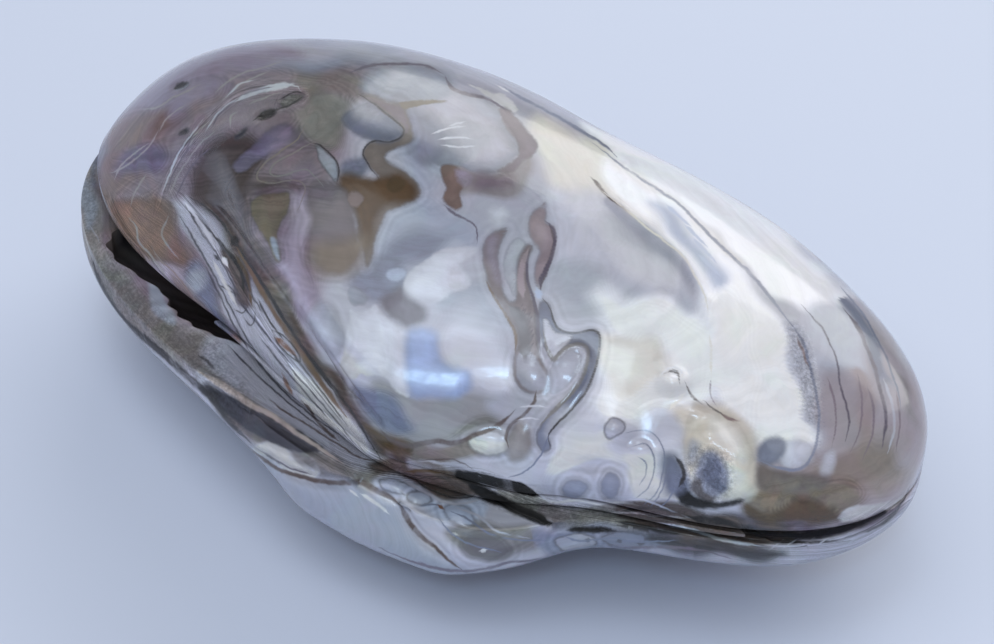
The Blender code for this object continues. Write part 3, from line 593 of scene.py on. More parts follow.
# Strokes in painting order: name, shade, width at the start and at the end, and one or more courses.
STROKES = (
    # A painted shadow beside the ridge, on the dome side.
    ("ridge shade", "umber", 4, 6, (230,232, 246,262, 262,292, 280,322, 300,352, 322,384, 346,416)),
    ("second prong", "rosewater", 6, 8, (528,250, 522,266, 521,282, 523,296)),
    ("river bank", "umber", 2.4, 4, (487,282, 496,300, 508,318, 516,336, 516,350)),
    ("river stem", "shale", 12, 14, (510,306, 521,320, 525,340, 525,358)),
    ("river dark and late bank", "dusk plum", 3, 5, (531,292, 535,308, 537,330, 538,352), (550,226, 554,240,
     551,256, 546,270, 541,286)),
    ("lobed outline", "soot", 2.2, 1.4, LOBE_EDGE),
    ("crown top line", "plum", 3, 2.4, (352,72, 368,66, 387,64, 413,64, 427,66, 441,73)),
    ("sliver outline", "soot", 1.6, 1.6, (314,143, 321,146, 331,155, 337,162, 339,173, 337,182)),
    ("patch outline", "plum", 3.2, 1.2, (445,206, 453,213, 469,221, 475,226, 477,233, 477,243)),
    ("river edge", "plum", 2, 4, (532,247, 528,257, 527,268, 528,281, 532,295, 535,306, 538,319, 538,332,
     540,350)),
    ("hook outline", "soot", 2, 2.6, (544,300, 550,308, 554,322, 560,330, 575,333, 590,330, 598,332,
     600,340, 599,352, 596,366, 590,384, 583,396, 572,409, 558,423, 549,434, 550,446)),
    ("hook inner line", "stone", 4, 4.5, (543,331, 546,344, 553,360, 560,353, 567,347, 576,344, 584,345,
     588,352, 587,363, 583,376, 575,389, 562,403, 550,414, 541,424)),
    ("crest line", "steel", 1.8, 4, (593,143, 607,154, 624,167, 645,181, 666,195, 680,205, 700,225, 724,249,
     747,270, 762,287, 779,309, 791,324)),
    ("band edge", "steel", 3, 3, (789,321, 797,332, 804,345, 808,360, 812,375, 816,392, 819,412, 818,432,
     812,456, 800,469, 780,468, 760,461)),
    ("second line", "plum", 1.6, 2.4, (803,306, 815,320, 822,327, 828,339, 834,352, 838,365, 839,376,
     842,392, 846,404, 849,420, 846,440)),
    ("third line", "plum", 4, 3, (845,310, 858,328, 865,343, 871,358, 876,372, 879,386, 884,404, 886,424,
     882,446)),
    ("fourth line", "slate", 2, 2, (842,288, 858,308, 866,319, 873,331, 880,345, 887,358, 891,373, 897,388,
     901,408)),
    ("slate stripe", "slate", 3, 3, (505,88, 522,98, 540,107, 560,118, 580,130, 600,142, 616,156)),
    ("crest tip", "steel", 1.4, 0.8, (589,122, 610,131, 626,139)),
    ("shoulder stroke", "sepia", 3.6, 1.6, (591,178, 599,186, 610,198, 621,206, 628,212)),
    ("notch", "black", 4, 13, (232,236, 235,240, 232,244)),
    ("shore line", "sepia", 6, 4, (382,432, 392,441, 407,446, 420,444, 436,441, 449,443, 463,441, 474,435,
     487,431, 498,425, 508,417, 514,411)),
    ("under shore", "sepia", 1.6, 1.6, (404,455, 417,460, 433,460, 449,459, 460,462, 472,468)),
    ("dark pit", "soot", 4, 5, (676,458, 682,466, 684,476, 680,486)),
    # A painted shadow line at the edge of the cream lump.
    ("lump shade", "sepia", 1, 3.4, (686,384, 689,392, 693,397, 698,401)),
    ("lump edge", "soot", 1.2, 2.6, (705,402, 712,408, 718,411, 722,414)),
    ("lump brown", "rose", 2.4, 5, (722,414, 729,419, 736,420)),
    ("yellow side", "mauve", 2, 1, (711,380, 710,390, 711,398, 716,405)),
    ("hook foot", "sepia", 3.6, 3, (536,392, 534,402, 524,414, 512,424, 506,436, 508,446)),
    ("hook tail", "slate", 2.2, 1.4, (549,436, 545,446, 540,456, 532,466, 520,474, 508,478)),
    ("beak and slope lines", "fawn", 2, 1.2, (144,109, 158,107, 172,98, 186,92, 199,85), (160,130, 165,121,
     174,112, 184,105), (112,172, 126,166, 136,158, 146,150, 153,140, 158,130), (115,178, 120,166, 134,154,
     148,144), (130,219, 137,228, 138,240, 144,248, 152,257, 160,268, 170,282, 178,292), (168,218, 162,232,
     164,240, 172,251, 178,258)),
    ("slope line c", "rose", 1.4, 1.2, (152,247, 160,260, 170,268, 182,282, 192,296)),
    ("zigzag", "fawn", 2, 1.2, (145,176, 140,184, 134,194, 131,204)),
    ("outer fold", "taupe", 1.6, 1.2, (304,128, 297,140, 287,147, 275,155, 264,164, 258,172, 257,179,
     267,183, 280,182, 293,180, 302,183, 305,189, 302,200, 298,210)),
    ("inner fold", "stone", 1.4, 1.2, (314,142, 304,147, 291,154, 279,160, 271,168, 270,174, 277,176,
     288,174, 299,170, 307,170, 315,176, 323,186)),
    ("pale streak", "nacre", 1.6, 1, (262,88, 280,84, 296,86, 300,90)),
    ("light curves", "fawn", 2, 1.2, (216,92, 230,80, 246,72, 262,68, 280,62), (222,100, 236,88, 252,78,
     268,72)),
    ("lilac streak", "nacre", 4, 7, (236,101, 250,94, 270,88, 292,84)),
    ("depression edge", "cream", 2, 2.4, DEPRESSION_EDGE),
    ("yellow line", "cream", 2, 3, (710,336, 711,352, 711,372)),
    ("white crest", "white", 4, 2, (639,408, 650,402, 662,399, 672,400, 682,395)),
    ("cream lump edge", "cream", 4, 6, (684,394, 676,402, 671,408)),
    ("ring rim", "white", 2.4, 1.4, (662,374, 667,369, 675,367, 681,371, 684,377)),
    ("wedge tip", "white", 3, 1, (509,92, 498,86)),
    ("thin line a", "chalk", 2.2, 1.2, (521,407, 536,406, 545,407)),
    ("thin line b", "chalk", 1.6, 1.2, (519,420, 530,418, 538,419)),
    ("pale strip", "pearl", 3.4, 1.8, (408,462, 424,461, 440,463, 455,464, 470,470, 480,472)),
    # A painted shadow line along the ridge's crisp edge, on the dome side.
    ("ridge edge", "soot", 2.4, 3, (190,197, 212,212, 230,234, 248,262, 267,290, 283,318, 302,346, 322,372,
     340,396, 356,418, 370,442, 380,458)),
    ("tan ridge", "tan", 8, 3, TAN_RIDGE),
    ("ledge slit", "soot", 3, 3, (200,356, 208,362, 214,369)),
    ("v mark a", "soot", 1.6, 1.2, (220,285, 228,290, 235,293)),
    ("v and u marks", "soot", 1.4, 1.2, (225,283, 234,291, 236,297), (235,310, 243,313, 247,307), (245,320,
     250,326, 254,322, 255,312)),
    ("inclusion a", "rust", 7, 3, (276,338, 284,345, 296,356)),
    ("inclusion b", "rust", 5, 3, (284,377, 288,386, 292,394)),
    ("ridge streak", "sepia", 3, 3, (302,402, 310,410, 318,422, 328,432, 338,440)),
    ("hinge line", "sepia", 2, 2, (270,400, 285,412, 300,420, 320,433, 340,445, 360,458, 380,460)),
    ("lobe line", "plum", 2, 1.4, (262,452, 275,460, 290,468, 310,474)),
    ("third slit", "black", 5, 4, (618,522, 640,526, 660,531, 682,534)),
    ("black seam", "black", 9, 5, (690,517, 705,520, 725,522, 745,528, 760,534)),
    ("seam line", "black", 3, 3, (760,536, 782,542, 818,542, 836,541, 855,535, 880,525, 891,516, 901,504,
     908,490)),
    ("brown start", "bistre", 4, 3, (408,471, 430,471, 455,473)),
    ("layer line", "soot", 1.6, 1.4, (415,478, 425,487, 440,494, 455,498, 470,497, 478,492)),
    ("groove", "sepia", 3, 7, GROOVE),
    ("groove end", "sepia", 7, 2, (400,505, 408,520, 420,535, 435,547, 445,557, 455,565, 462,570)),
    ("blue lobe line", "slate", 2, 1.4, (420,506, 432,504, 440,505)),
    ("red spot", "rust", 4, 4, (439,505, 443,508)),
    ("lip spot a", "soot", 5, 5, (586,540, 590,540)),
    ("lip spots", "soot", 4, 4, (618,541, 622,540), (638,543, 642,543)),
    ("bottom outline", "plum", 3, 3, (380,548, 400,557, 420,564, 440,569, 455,571, 470,571, 490,568,
     510,562, 540,560, 580,553, 620,549, 660,547, 700,550, 730,558)),
    ("ledge scratch", "ash", 1.6, 1.2, (90,226, 94,232, 99,241)),
    ("pale lip", "ash", 3, 2, (400,478, 412,485, 425,492, 440,500, 455,504, 468,503, 480,499)),
    ("seam lip", "pearl", 3, 2, (480,473, 505,478, 520,480, 530,486, 540,494, 548,500, 560,503, 575,503,
     597,502, 620,500, 645,500, 665,508, 690,518)),
    ("lower seam lip", "ash", 3, 3, (660,523, 675,526, 690,529, 705,534, 720,539, 735,542, 760,546)),
    ("glint a", "nacre", 4, 3, (362,494, 376,503, 388,513)),
    ("glint b", "chalk", 2, 2, (350,490, 358,496)),
    ("white bumps", "chalk", 4, 4, (453,534, 457,535), (481,551, 486,550)),
    ("band blush", "rose", 3, 3, (798,340, 804,354, 808,366)),
    ("brush strokes", "ice", 4, 2, (668,206, 690,226), (686,226, 706,246), (694,240, 716,262), (700,256,
     720,276)),
    ("last river edge", "plum", 3, 5, (546,222, 553,228, 555,236, 554,246, 551,258, 546,270, 541,279,
     540,290)),
    ("white box", "ice", 8, 8, (537,290, 540,298)),
    # Painted shade on one side of the ring bump.
    ("ring shade", "stone", 3, 1.4, (668,372, 675,370, 679,376, 680,384)),
    ("outer edge", "soot", 7, 6, (93,262, 104,293, 121,318, 148,341, 192,380, 213,400, 229,422, 250,442)),
    ("wrinkle 1", "pearl", 1.8, 1.2, (163,190, 168,178, 174,163, 182,148, 192,134, 202,121)),
    ("wrinkles", "fawn", 1.8, 1.2, (170,194, 178,176, 188,160, 200,144, 214,132), (190,148, 193,138,
     199,130, 208,122)),
    ("wrinkle 4", "pearl", 1.8, 1.2, (206,130, 214,118, 226,106, 238,98)),
    ("wrinkle 5", "fawn", 1.8, 1.2, (230,126, 231,116, 236,112)),
    ("wrinkle 6", "pearl", 1.8, 1.2, (228,95, 240,84, 254,80)),
    ("wrinkle 7", "fawn", 1.8, 1.2, (250,104, 264,98, 280,92)),
    ("wrinkle shades", "plum", 1.6, 1.2, (167,192, 173,174, 182,158, 194,142), (176,196, 186,176, 197,160,
     210,148), (186,152, 190,142, 197,134), (212,126, 220,114, 232,104), (240,96, 256,90, 272,87)),
    ("grain lines", "ink", 2.2, 1.4, (180,216, 194,240, 210,268, 226,298, 242,330, 262,362), (186,206,
     204,236, 222,262, 240,298), (196,214, 214,236, 234,262), (206,268, 220,296, 234,326, 250,352),
     (250,352, 280,388, 310,414, 344,438), (228,345, 256,374, 290,404, 326,432)),
    ("gritty column a", "black", 4, 3, (228,252, 236,262, 242,276, 244,292)),
    ("gritty column b", "bistre", 4, 3, (236,256, 246,274, 250,292, 252,306)),
    ("ridge white a", "white", 6, 3, (223,258, 228,266)),
    ("ridge white b", "chalk", 5, 3, (186,204, 200,222, 214,244)),
    ("ridge white c", "chalk", 4, 3, (214,262, 224,282, 236,304)),
    ("ridge white d", "nacre", 6, 4, (300,384, 322,404, 346,430, 362,444)),
    ("ridge spot", "black", 4, 3, (215,256, 219,260)),
    ("grain 4", "ink", 2, 1.4, (238,300, 256,322, 276,346, 294,368)),
    ("grain 5", "ink", 2.2, 1.4, (262,340, 284,368, 308,396, 330,420)),
    ("grain 6", "ink", 2, 1.2, (288,366, 310,390, 334,418, 352,440)),
    ("grain 10", "soot", 2.4, 1.4, (290,350, 308,374, 328,400, 346,424)),
    ("inclusion edge", "soot", 1.6, 1.6, (272,330, 284,336, 296,350, 300,362, 290,356, 278,344, 272,332)),
    ("mauve wedge", "plum", 4, 2.4, (446,78, 452,88, 466,94, 486,98, 500,106, 508,114)),
    ("ripples", "chalk", 2, 1.2, (434,133, 450,128, 464,126), (440,139, 458,137, 472,139), (444,145,
     460,147, 475,146), (450,126, 464,122)),
    ("agate lines", "slate", 1.8, 1.2, (627,433, 644,430, 657,437, 664,452, 663,470, 657,492, 640,508),
     (634,446, 646,444, 653,454, 654,470, 648,488, 636,498), (640,458, 646,462, 646,474, 640,484), (668,470,
     662,490, 650,508), (676,486, 668,500, 658,510)),
    ("waves", "slate", 2.4, 1.2, (452,512, 470,520, 490,534, 520,540, 548,540), (440,520, 452,534, 470,544,
     500,552), (560,534, 580,541, 610,538, 640,542, 680,540)),
    ("pale wave 1", "ash", 3, 1.4, (458,508, 478,516, 498,532, 528,538)),
    ("cavity line", "soot", 2, 1.4, (254,120, 264,114, 278,109, 290,105, 303,97)),
    ("cavity top", "soot", 1.6, 1.2, (280,100, 288,95, 298,92, 304,94)),
    ("flecks", "soot", 3, 1.2, (250,262, 262,284, 276,304, 288,326), (258,300, 270,322, 284,340), (240,270,
     250,292, 262,312), (300,344, 320,372, 340,400), (214,236, 224,246, 236,262)),
    ("end lines", "mauve", 2.6, 1.4, (858,376, 862,400, 860,430, 850,452), (828,380, 834,400, 836,424,
     832,446), (868,388, 874,410, 872,436, 862,460), (896,392, 900,420, 896,450)),
    ("end gleam", "pearl", 3, 2, (884,380, 892,404, 894,430, 888,452)),
    ("scratches", "ash", 1.6, 1, (770,549, 782,541), (784,548, 796,540), (800,547, 812,539), (816,546,
     828,538), (832,545, 844,537), (848,544, 860,536)),
    ("slit lip", "nacre", 3, 2, (540,498, 556,502, 580,500, 600,504, 620,502, 640,506)),
    ("slit lip low", "fawn", 2.4, 2, (548,506, 570,512, 600,514, 630,512, 660,516, 690,518)),
    ("slit dark", "black", 4, 3, (620,512, 650,508, 680,514, 700,520)),
    ("ledge edge", "ink", 1.6, 2.2, (91,262, 102,288, 120,314, 146,338, 168,354)),
)

# Raised and sunken lines: name, width, height in mm (negative for a groove), and course.
RIDGES = (
    ("ridge crest", 8, 0.6, (184,204, 204,232, 222,256, 240,288, 262,318, 290,352, 322,388, 352,424,
     378,450)),
    ("ridge foot", 8, -0.7, (200,196, 222,218, 242,244, 262,274, 284,304, 308,338, 334,370, 362,408,
     388,438)),
    ("tan ridge", 6, 0.6, TAN_RIDGE),
    ("under tan", 8, -0.9, (200,386, 232,401, 270,421, 305,443, 320,449)),
    ("outer groove", 8, -0.8, (*GROOVE, 408,520, 420,535, 435,547, 445,557, 455,565, 462,570)),
    ("first slit", 4, -0.9, (454,474, 470,477, 490,481, 508,485, 522,489, 538,495)),
    ("second slit", 4, -0.9, (468,487, 484,492, 500,500, 516,509, 534,516, 550,524, 580,528, 615,529)),
    ("depression edge", 8, 0.35, DEPRESSION_EDGE),
    ("hook fold", 6, 0.3, (545,340, 553,360, 566,350, 580,348, 586,358, 580,378, 566,398, 550,414)),
)

# Bumps and pits: name, middle, half length, half width, tilt in degrees, and height in mm.
BUMPS = (
    ("oval blister", 615, 429, 12, 9, -12, 0.6),
    ("ring bump", 674, 381, 13, 12, 0, 0.8),
    ("ring pit", 674, 374, 5, 4, 0, -0.6),
    ("small spot", 661, 361, 5, 8, 0, 0.3),
    ("lump knob", 690, 412, 14, 9, 0, 0.5),
    ("lump knob b", 740, 462, 9, 16, 0, 0.4),
    ("lump knob c", 706, 436, 9, 8, 0, 0.4),
    ("foot knob", 640, 452, 12, 10, 0, 0.5),
    ("foot knob b", 660, 486, 10, 12, 0, 0.5),
    ("foot hollow", 590, 466, 18, 8, 0, -0.5),
    ("white lump", 490, 443, 19, 12, 0, 0.8),
    ("olive lump", 519, 440, 11, 17, 0, 0.5),
    ("cream lump", 722, 446, 30, 34, 0, 1.0),
    ("lump pit", 714, 474, 14, 20, 0, -0.8),
    ("black corner", 690, 500, 12, 15, 0, -0.7),
    ("first pit", 180, 85, 9, 4, -20, -0.35),
    ("second pit", 184, 131, 6, 3, -30, -0.3),
    ("third pit", 241, 133, 7, 3, -35, -0.3),
    ("first cavity", 266, 114, 9, 4, -20, -0.6),
    ("second cavity", 292, 98, 12, 5, -15, -0.5),
    ("first oval", 575, 489, 13, 9, 0, 0.5),
    ("second oval", 611, 487, 9, 13, 0, 0.5),
    ("first blue lobe", 398, 487, 17, 8, 12, 0.5),
    ("second blue lobe", 420, 498, 11, 6, 0, 0.4),
    ("third blue lobe", 458, 516, 13, 10, 0, 0.6),
    ("upper bulb", 566, 370, 15, 16, 0, 0.4),
    ("lower bulb", 532, 373, 14, 16, 0, 0.35),
    ("first hinge lobe", 262, 448, 9, 5, 30, 0.4),
    ("second hinge lobe", 296, 464, 12, 5, 25, 0.4),
    ("third hinge lobe", 332, 465, 13, 9, 10, 0.5),
    ("fourth hinge lobe", 356, 470, 7, 8, 0, 0.4),
)

# Areas with a rough, gritty face: name, softness of the edge, and outline.
GRIT = (
    ("ledge", 5, (78,176, 96,168, 100,215, 106,240, 150,300, 184,326, 222,340, 226,364, 250,392, 236,430,
     200,392, 150,350, 110,312, 84,250)),
    ("lump pit", 5, (692,448, 716,448, 732,462, 732,492, 706,508, 676,496)),
    ("slits", 3, (440,468, 510,482, 560,504, 700,510, 740,530, 690,532, 560,528, 480,500)),
    ("feathers", 5, (788,326, 797,324, 808,342, 816,380, 819,418, 808,422, 803,400, 796,372, 790,348)),
    ("second cavity", 2, (278,108, 284,94, 304,91, 304,102)),
)

# Areas with fine streaks along the nearest guide: name, softness of the edge, and outline.
STREAKS = (
    ("ridge", 4, (166,196, 186,192, 227,228, 249,262, 269,290, 294,328, 322,368, 354,412, 378,452, 372,464,
     330,450, 262,404, 204,350, 190,262)),
    ("hinge lips", 5, (236,392, 300,420, 400,462, 470,466, 560,500, 700,506, 700,530, 600,528, 520,512,
     440,492, 380,480, 300,470, 236,436)),
    ("right lip", 5, (700,512, 800,522, 900,500, 930,470, 930,520, 860,560, 700,566)),
    ("wrinkled band", 6, (158,200, 166,176, 178,152, 196,126, 226,98, 250,84, 292,80, 306,92, 262,118,
     232,132, 206,154, 190,184, 178,202)),
    ("slope", 8, (100,200, 130,196, 170,200, 200,270, 228,330, 196,320, 130,250)),
)

# The courses that the streaks follow.
GUIDES = (
    (158,204, 166,180, 180,154, 200,128, 228,102, 256,90, 306,88),
    (180,197, 207,230, 228,267, 244,294, 265,330, 292,366, 318,398, 342,428, 364,450, 385,462),
    (196,372, 252,405, 300,436, 350,466, 420,478, 480,480, 540,504, 620,520, 700,528, 780,542, 850,535,
     900,505, 930,470),
    (100,170, 116,214, 150,262, 196,316),
)


def ease(t):
    """0 to 1 with level ends."""
    t = np.clip(t, 0, 1)
    return t * t * (3 - 2 * t)


def bell(away, reach):
    """1 in the middle, fading out at about the reach."""
    return np.exp(-(away / reach) ** 2 * 2)


def ray(angle):
    """Directions from above, as x and y."""
    return np.stack([np.cos(angle), np.sin(angle)], -1)


def around(values, angle):
    """A smooth closed curve through equally spaced values, read at angles in radians."""
    count = len(values)
    waves = np.fft.rfft(values) / count
    total = np.full(np.shape(angle), waves[0].real)
    for k in range(1, len(waves)):
        share = 1 if 2 * k == count else 2
        total = total + share * (waves[k].real * np.cos(k * angle) - waves[k].imag * np.sin(k * angle))
    return total


def near(angle, middle, half):
    """1 at the middle, and 0 from half a width away."""
    away = (np.degrees(angle) - middle + 180) % 360 - 180
    return ease(1 - np.abs(away) / half)


def between(angle, start, end, fade):
    """1 between two angles, fading out beyond them."""
    degrees = np.degrees(angle) % 360
    return ease((degrees - start) / fade + 1) * ease((end - degrees) / fade + 1)


def seam_radius(angle):
    return around(SEAM_RADII, angle)


def gap(angle):
    """How far apart the two rims are."""
    wide = LIGAMENT_GAP - SEAM_GAP
    ligament = wide * between(angle, GAP_START, GAP_END, GAP_FADE)
    return SEAM_GAP + ligament + OPEN_GAP * near(angle, SPLIT_ANGLE, SPLIT_HALF)


def upper_rim_height(angle):
    height = np.full(np.shape(angle), SEAM_HEIGHT + RIM_LEVEL)
    for middle, half, lift in RIM_LIFTS:
        height = height + lift * near(angle, middle, half)
    return height


def lower_rim_height(angle):
    return upper_rim_height(angle) - gap(angle)


def ledge_edge_height(angle):
    middle, half, drop = LEDGE_SLOPE
    slope = SEAM_HEIGHT + LEDGE_LEVEL - drop * near(angle, middle, half)
    return np.minimum(slope, lower_rim_height(angle) - LEDGE_LEAST_DROP)


def upper_edge_height(angle):
    return upper_rim_height(angle) + EDGE_BAND


def lower_edge_height(angle):
    return ledge_edge_height(angle) - EDGE_BAND


def ledge_radius(angle):
    return seam_radius(angle) + np.maximum(around(LEDGE_WIDTHS, angle), 0)


def upper_hollow_radius(angle):
    return seam_radius(angle) - RIM_WIDTH


def lower_hollow_radius(angle):
    """The lower hollow reaches out to the torn opening in the ledge."""
    reach = sum(most * near(angle, middle, half) for middle, half, most in TEARS)
    return seam_radius(angle) - RIM_WIDTH + reach * (1 + TEAR_RIPPLE * np.sin(TEAR_RIPPLES * angle))


def dome(share, angle, radius, edge_height, summit, top, leanness, swell):
    """Points of a dome: share is 0 at the summit and 1 at the edge."""
    summit = np.array(summit)
    edge = radius(angle)[..., None] * ray(angle) - summit
    turn = np.linspace(0, 2 * np.pi, OUTLINE_STEPS, endpoint=False)
    outline = radius(turn)[:, None] * ray(turn) - summit
    oval_x = 2 * np.mean(outline * np.cos(turn)[:, None], 0)
    oval_y = 2 * np.mean(outline * np.sin(turn)[:, None], 0)
    oval = np.cos(angle)[..., None] * oval_x + np.sin(angle)[..., None] * oval_y
    own = ease((share - OVAL_SHARE) / (OWN_SHARE - OVAL_SHARE))
    reach = oval * (1 - own[..., None]) + edge * own[..., None]
    lean = SUMMIT_LEANNESS * (1 - own) + around(leanness, angle) * own
    swelling = around(swell, angle) * own
    swing = share * np.pi / 2
    out = np.sin(swing) + swelling * np.sin(2 * swing) * np.sin(swing)
    plan = summit + reach * out[..., None]
    drop = np.clip(np.cos(swing), 0, 1) ** (2 * lean)
    height = edge_height(angle)
    return np.concatenate([plan, (height + (top - height) * drop)[..., None]], -1)


def upper_dome(share, angle):
    return dome(share, angle, seam_radius, upper_edge_height, UPPER_SUMMIT, UPPER_TOP,
                UPPER_LEANNESS, UPPER_SWELL)


def lower_dome(share, angle):
    return dome(share, angle, ledge_radius, lower_edge_height, LOWER_SUMMIT, -REST_CUT,
                LOWER_LEANNESS, LOWER_SWELL)


def upper_inside(share, angle):
    return dome(share, angle, upper_hollow_radius, upper_rim_height, UPPER_SUMMIT, UPPER_TOP - WALL,
                UPPER_LEANNESS, UPPER_SWELL)


def lower_inside(share, angle):
    return dome(share, angle, lower_hollow_radius, lower_rim_height, LOWER_SUMMIT, WALL,
                LOWER_LEANNESS, LOWER_SWELL)


def relief(points, spots):
    """How high the swells and dips are at each point."""
    total = np.zeros(points.shape[:-1])
    for x, y, radius, height in spots:
        away = np.hypot(points[..., 0] - x, points[..., 1] - y)
        total = total + height * bell(away, radius)
    return total


def outward(surface, share, angle, sign):
    """Directions away from a surface."""
    place = np.clip(share, SLOPE_FIRST_SHARE, 1)
    down = surface(np.minimum(place + SLOPE_STEP, 1), angle) - surface(place - SLOPE_STEP, angle)
    side = surface(place, angle + SLOPE_STEP) - surface(place, angle - SLOPE_STEP)
    normal = sign * np.cross(down, side)
    return normal / np.linalg.norm(normal, axis=-1, keepdims=True)


def crease_push(points):
    """How far the crest along the hinge side stands out."""
    crease_x, crease_z = np.array(CREASE, float).T
    above = points[..., 2] - np.interp(points[..., 0], crease_x, crease_z)
    dome_side = np.exp(-(above / CREASE_DOME_SPREAD) ** 2)
    facet_side = np.clip(1 + above / CREASE_FACET_WIDTH, 0, 1)
    start = ease((points[..., 0] - crease_x[0]) / CREASE_END_FADE)
    end = ease((crease_x[-1] - points[..., 0]) / CREASE_END_FADE)
    hinge_side = ease(-points[..., 1] / CREASE_SIDE_FADE)
    return CREASE_DEPTH * np.where(above > 0, dome_side, facet_side) * start * end * hinge_side


def dressed(smooth, share, angle, spots, sign):
    """A dome with its swells and dips, which fade out towards the edge."""
    points = smooth(share, angle)
    fade = ease((1 - share) / EDGE_FADE)
    return points + (relief(points, spots) * fade)[..., None] * outward(smooth, share, angle, sign)


def upper_outside(share, angle):
    points = dressed(upper_dome, share, angle, UPPER_RELIEF, 1)
    points[..., 1] += crease_push(points) * ease((1 - share) / EDGE_FADE)
    return points


def lower_outside(share, angle):
    points = dressed(lower_dome, share, angle, LOWER_RELIEF, -1)
    points[..., 2] = np.maximum(points[..., 2], 0)
    return points


def disc_grid(columns, rows):
    """A grid bent into a disc: shares, angles, faces, and the margin's points in turn."""
    across, up = np.meshgrid(np.linspace(-1, 1, columns), np.linspace(-1, 1, rows))
    wide = np.abs(across) >= np.abs(up)
    long_way = np.where(wide, across, up)
    safe = np.where(long_way == 0, 1, long_way)
    corner = np.radians(GRID_CORNER)
    angle = np.where(wide, up / safe * corner, np.pi / 2 - across / safe * (np.pi / 2 - corner))
    angle = angle + np.where(long_way < 0, np.pi, 0)
    place = np.arange(columns * rows).reshape(rows, columns)
    faces = np.stack([place[:-1, :-1], place[:-1, 1:], place[1:, 1:], place[1:, :-1]], -1).reshape(-1, 4)
    margin = np.concatenate([place[0, :-1], place[:-1, -1], place[-1, :0:-1], place[:0:-1, 0]])
    return np.abs(long_way).ravel(), angle.ravel(), faces, margin


class Shell:
    """Points and faces of one closed body, built up ring by ring from a bent grid."""

    def __init__(self, grid, outside, flip):
        share, angle, faces, self.loop = disc_grid(*grid)
        self.flip = flip
        self.points = [outside(share, angle)]
        self.faces = [faces]
        self.count = len(share)
        self.rim_angle = angle[self.loop]

    def add_ring(self, radius, height):
        """Joins a ring, given from above and by its height, to the last one."""
        self.join(plan_ring(self.rim_angle, radius, height))

    def join(self, ring):
        fresh = self.count + np.arange(len(ring))
        self.points.append(ring)
        self.faces.append(np.stack([self.loop, fresh, np.roll(fresh, -1), np.roll(self.loop, -1)], -1))
        self.loop = fresh
        self.count += len(ring)

    def add_hollow(self, inside):
        """Rings down the hollow, closed by one point."""
        self.outer_count = self.count
        for share in np.linspace(1, INNER_TIP_SHARE, HOLLOW_RINGS):
            self.join(inside(np.full(len(self.rim_angle), share), self.rim_angle))
        tip = np.zeros(1)
        self.points.append(inside(tip, tip))
        to_tip = np.full(len(self.loop), self.count)
        following = np.roll(self.loop, -1)
        self.faces.append(np.stack([self.loop, to_tip, following, following], -1))

    def arrays(self):
        faces = np.concatenate(self.faces)
        if self.flip:
            faces = faces[:, ::-1]
        return np.concatenate(self.points) + CENTRE, faces


def plan_ring(angle, radius, height):
    return np.stack([radius * np.cos(angle), radius * np.sin(angle), height], -1)


def upper_shell():
    shell = Shell(UPPER_GRID, upper_outside, False)
    rim, radius = upper_rim_height(shell.rim_angle), seam_radius(shell.rim_angle)
    shell.add_ring(radius, rim + EDGE_ROUND)
    shell.add_ring(radius - EDGE_ROUND * ROUND_SHARE, rim + EDGE_ROUND * ROUND_SHARE)
    shell.add_ring(radius - EDGE_ROUND, rim)
    shell.add_hollow(upper_inside)
    return shell


def lower_shell():
    shell = Shell(LOWER_GRID, lower_outside, True)
    angle = shell.rim_angle
    edge, radius = ledge_edge_height(angle), ledge_radius(angle)
    inner, rim = lower_hollow_radius(angle), lower_rim_height(angle)
    shell.add_ring(radius, edge - EDGE_ROUND)
    shell.add_ring(radius - EDGE_ROUND * ROUND_SHARE, edge - EDGE_ROUND * ROUND_SHARE)
    outer = radius - EDGE_ROUND
    for step in np.linspace(0, 1, LEDGE_RINGS, endpoint=False):
        shell.add_ring(outer + (inner - outer) * step, edge + (rim - edge) * step)
    shell.add_hollow(lower_inside)
    return shell


def ligament_strip():
    """The dried ligament as a closed strip that fills the gap between the valves."""
    angle = np.radians(np.linspace(LIGAMENT_START, LIGAMENT_END, STRIP_LENGTH_STEPS))
    along = np.linspace(0, 1, STRIP_LENGTH_STEPS)
    end_share = ease(np.minimum(along, 1 - along) / LIGAMENT_TAPER)
    low, high = lower_rim_height(angle) + STRIP_CLEARANCE, upper_rim_height(angle) - STRIP_CLEARANCE
    half = (high - low) / 2 * (LIGAMENT_END_THICK + (1 - LIGAMENT_END_THICK) * end_share)
    middle = (high + low) / 2
    depth = LIGAMENT_DEPTH * (LIGAMENT_END_DEEP + (1 - LIGAMENT_END_DEEP) * end_share)
    turn = np.linspace(0, 2 * np.pi, STRIP_ROUND_STEPS, endpoint=False)
    out, rise = (np.sign(way) * np.abs(way) ** STRIP_SQUARENESS for way in (np.cos(turn), np.sin(turn)))
    centre = seam_radius(angle) - LIGAMENT_SET_BACK - depth / 2
    radius = centre[:, None] + out[None] * (depth[:, None] / 2 + STRIP_BULGE * (out[None] > 0))
    height = middle[:, None] + rise[None] * half[:, None]
    angles = np.repeat(angle[:, None], STRIP_ROUND_STEPS, 1)
    points = plan_ring(angles, radius, height).reshape(-1, 3) + CENTRE
    place = np.arange(len(points)).reshape(len(angle), STRIP_ROUND_STEPS)
    after = np.roll(place, -1, 1)
    faces = np.stack([place[:-1], place[1:], after[1:], after[:-1]], -1).reshape(-1, 4)
    caps = []
    for ring, flip in ((place[0], True), (place[-1], False)):
        for k in range(1, STRIP_ROUND_STEPS - 1):
            face = (ring[0], ring[k], ring[k + 1], ring[k + 1])
            caps.append(face[::-1] if flip else face)
    return points, np.concatenate([faces, np.array(caps)])


def make_mesh(name, points, faces):
    mesh = bpy.data.meshes.new(name)
    corners = [list(dict.fromkeys(face)) for face in faces.tolist()]
    mesh.from_pydata((points * MM).tolist(), [], corners)
    mesh.update()
    mesh.shade_smooth()
    thing = bpy.data.objects.new(name, mesh)
    bpy.context.collection.objects.link(thing)
    return thing


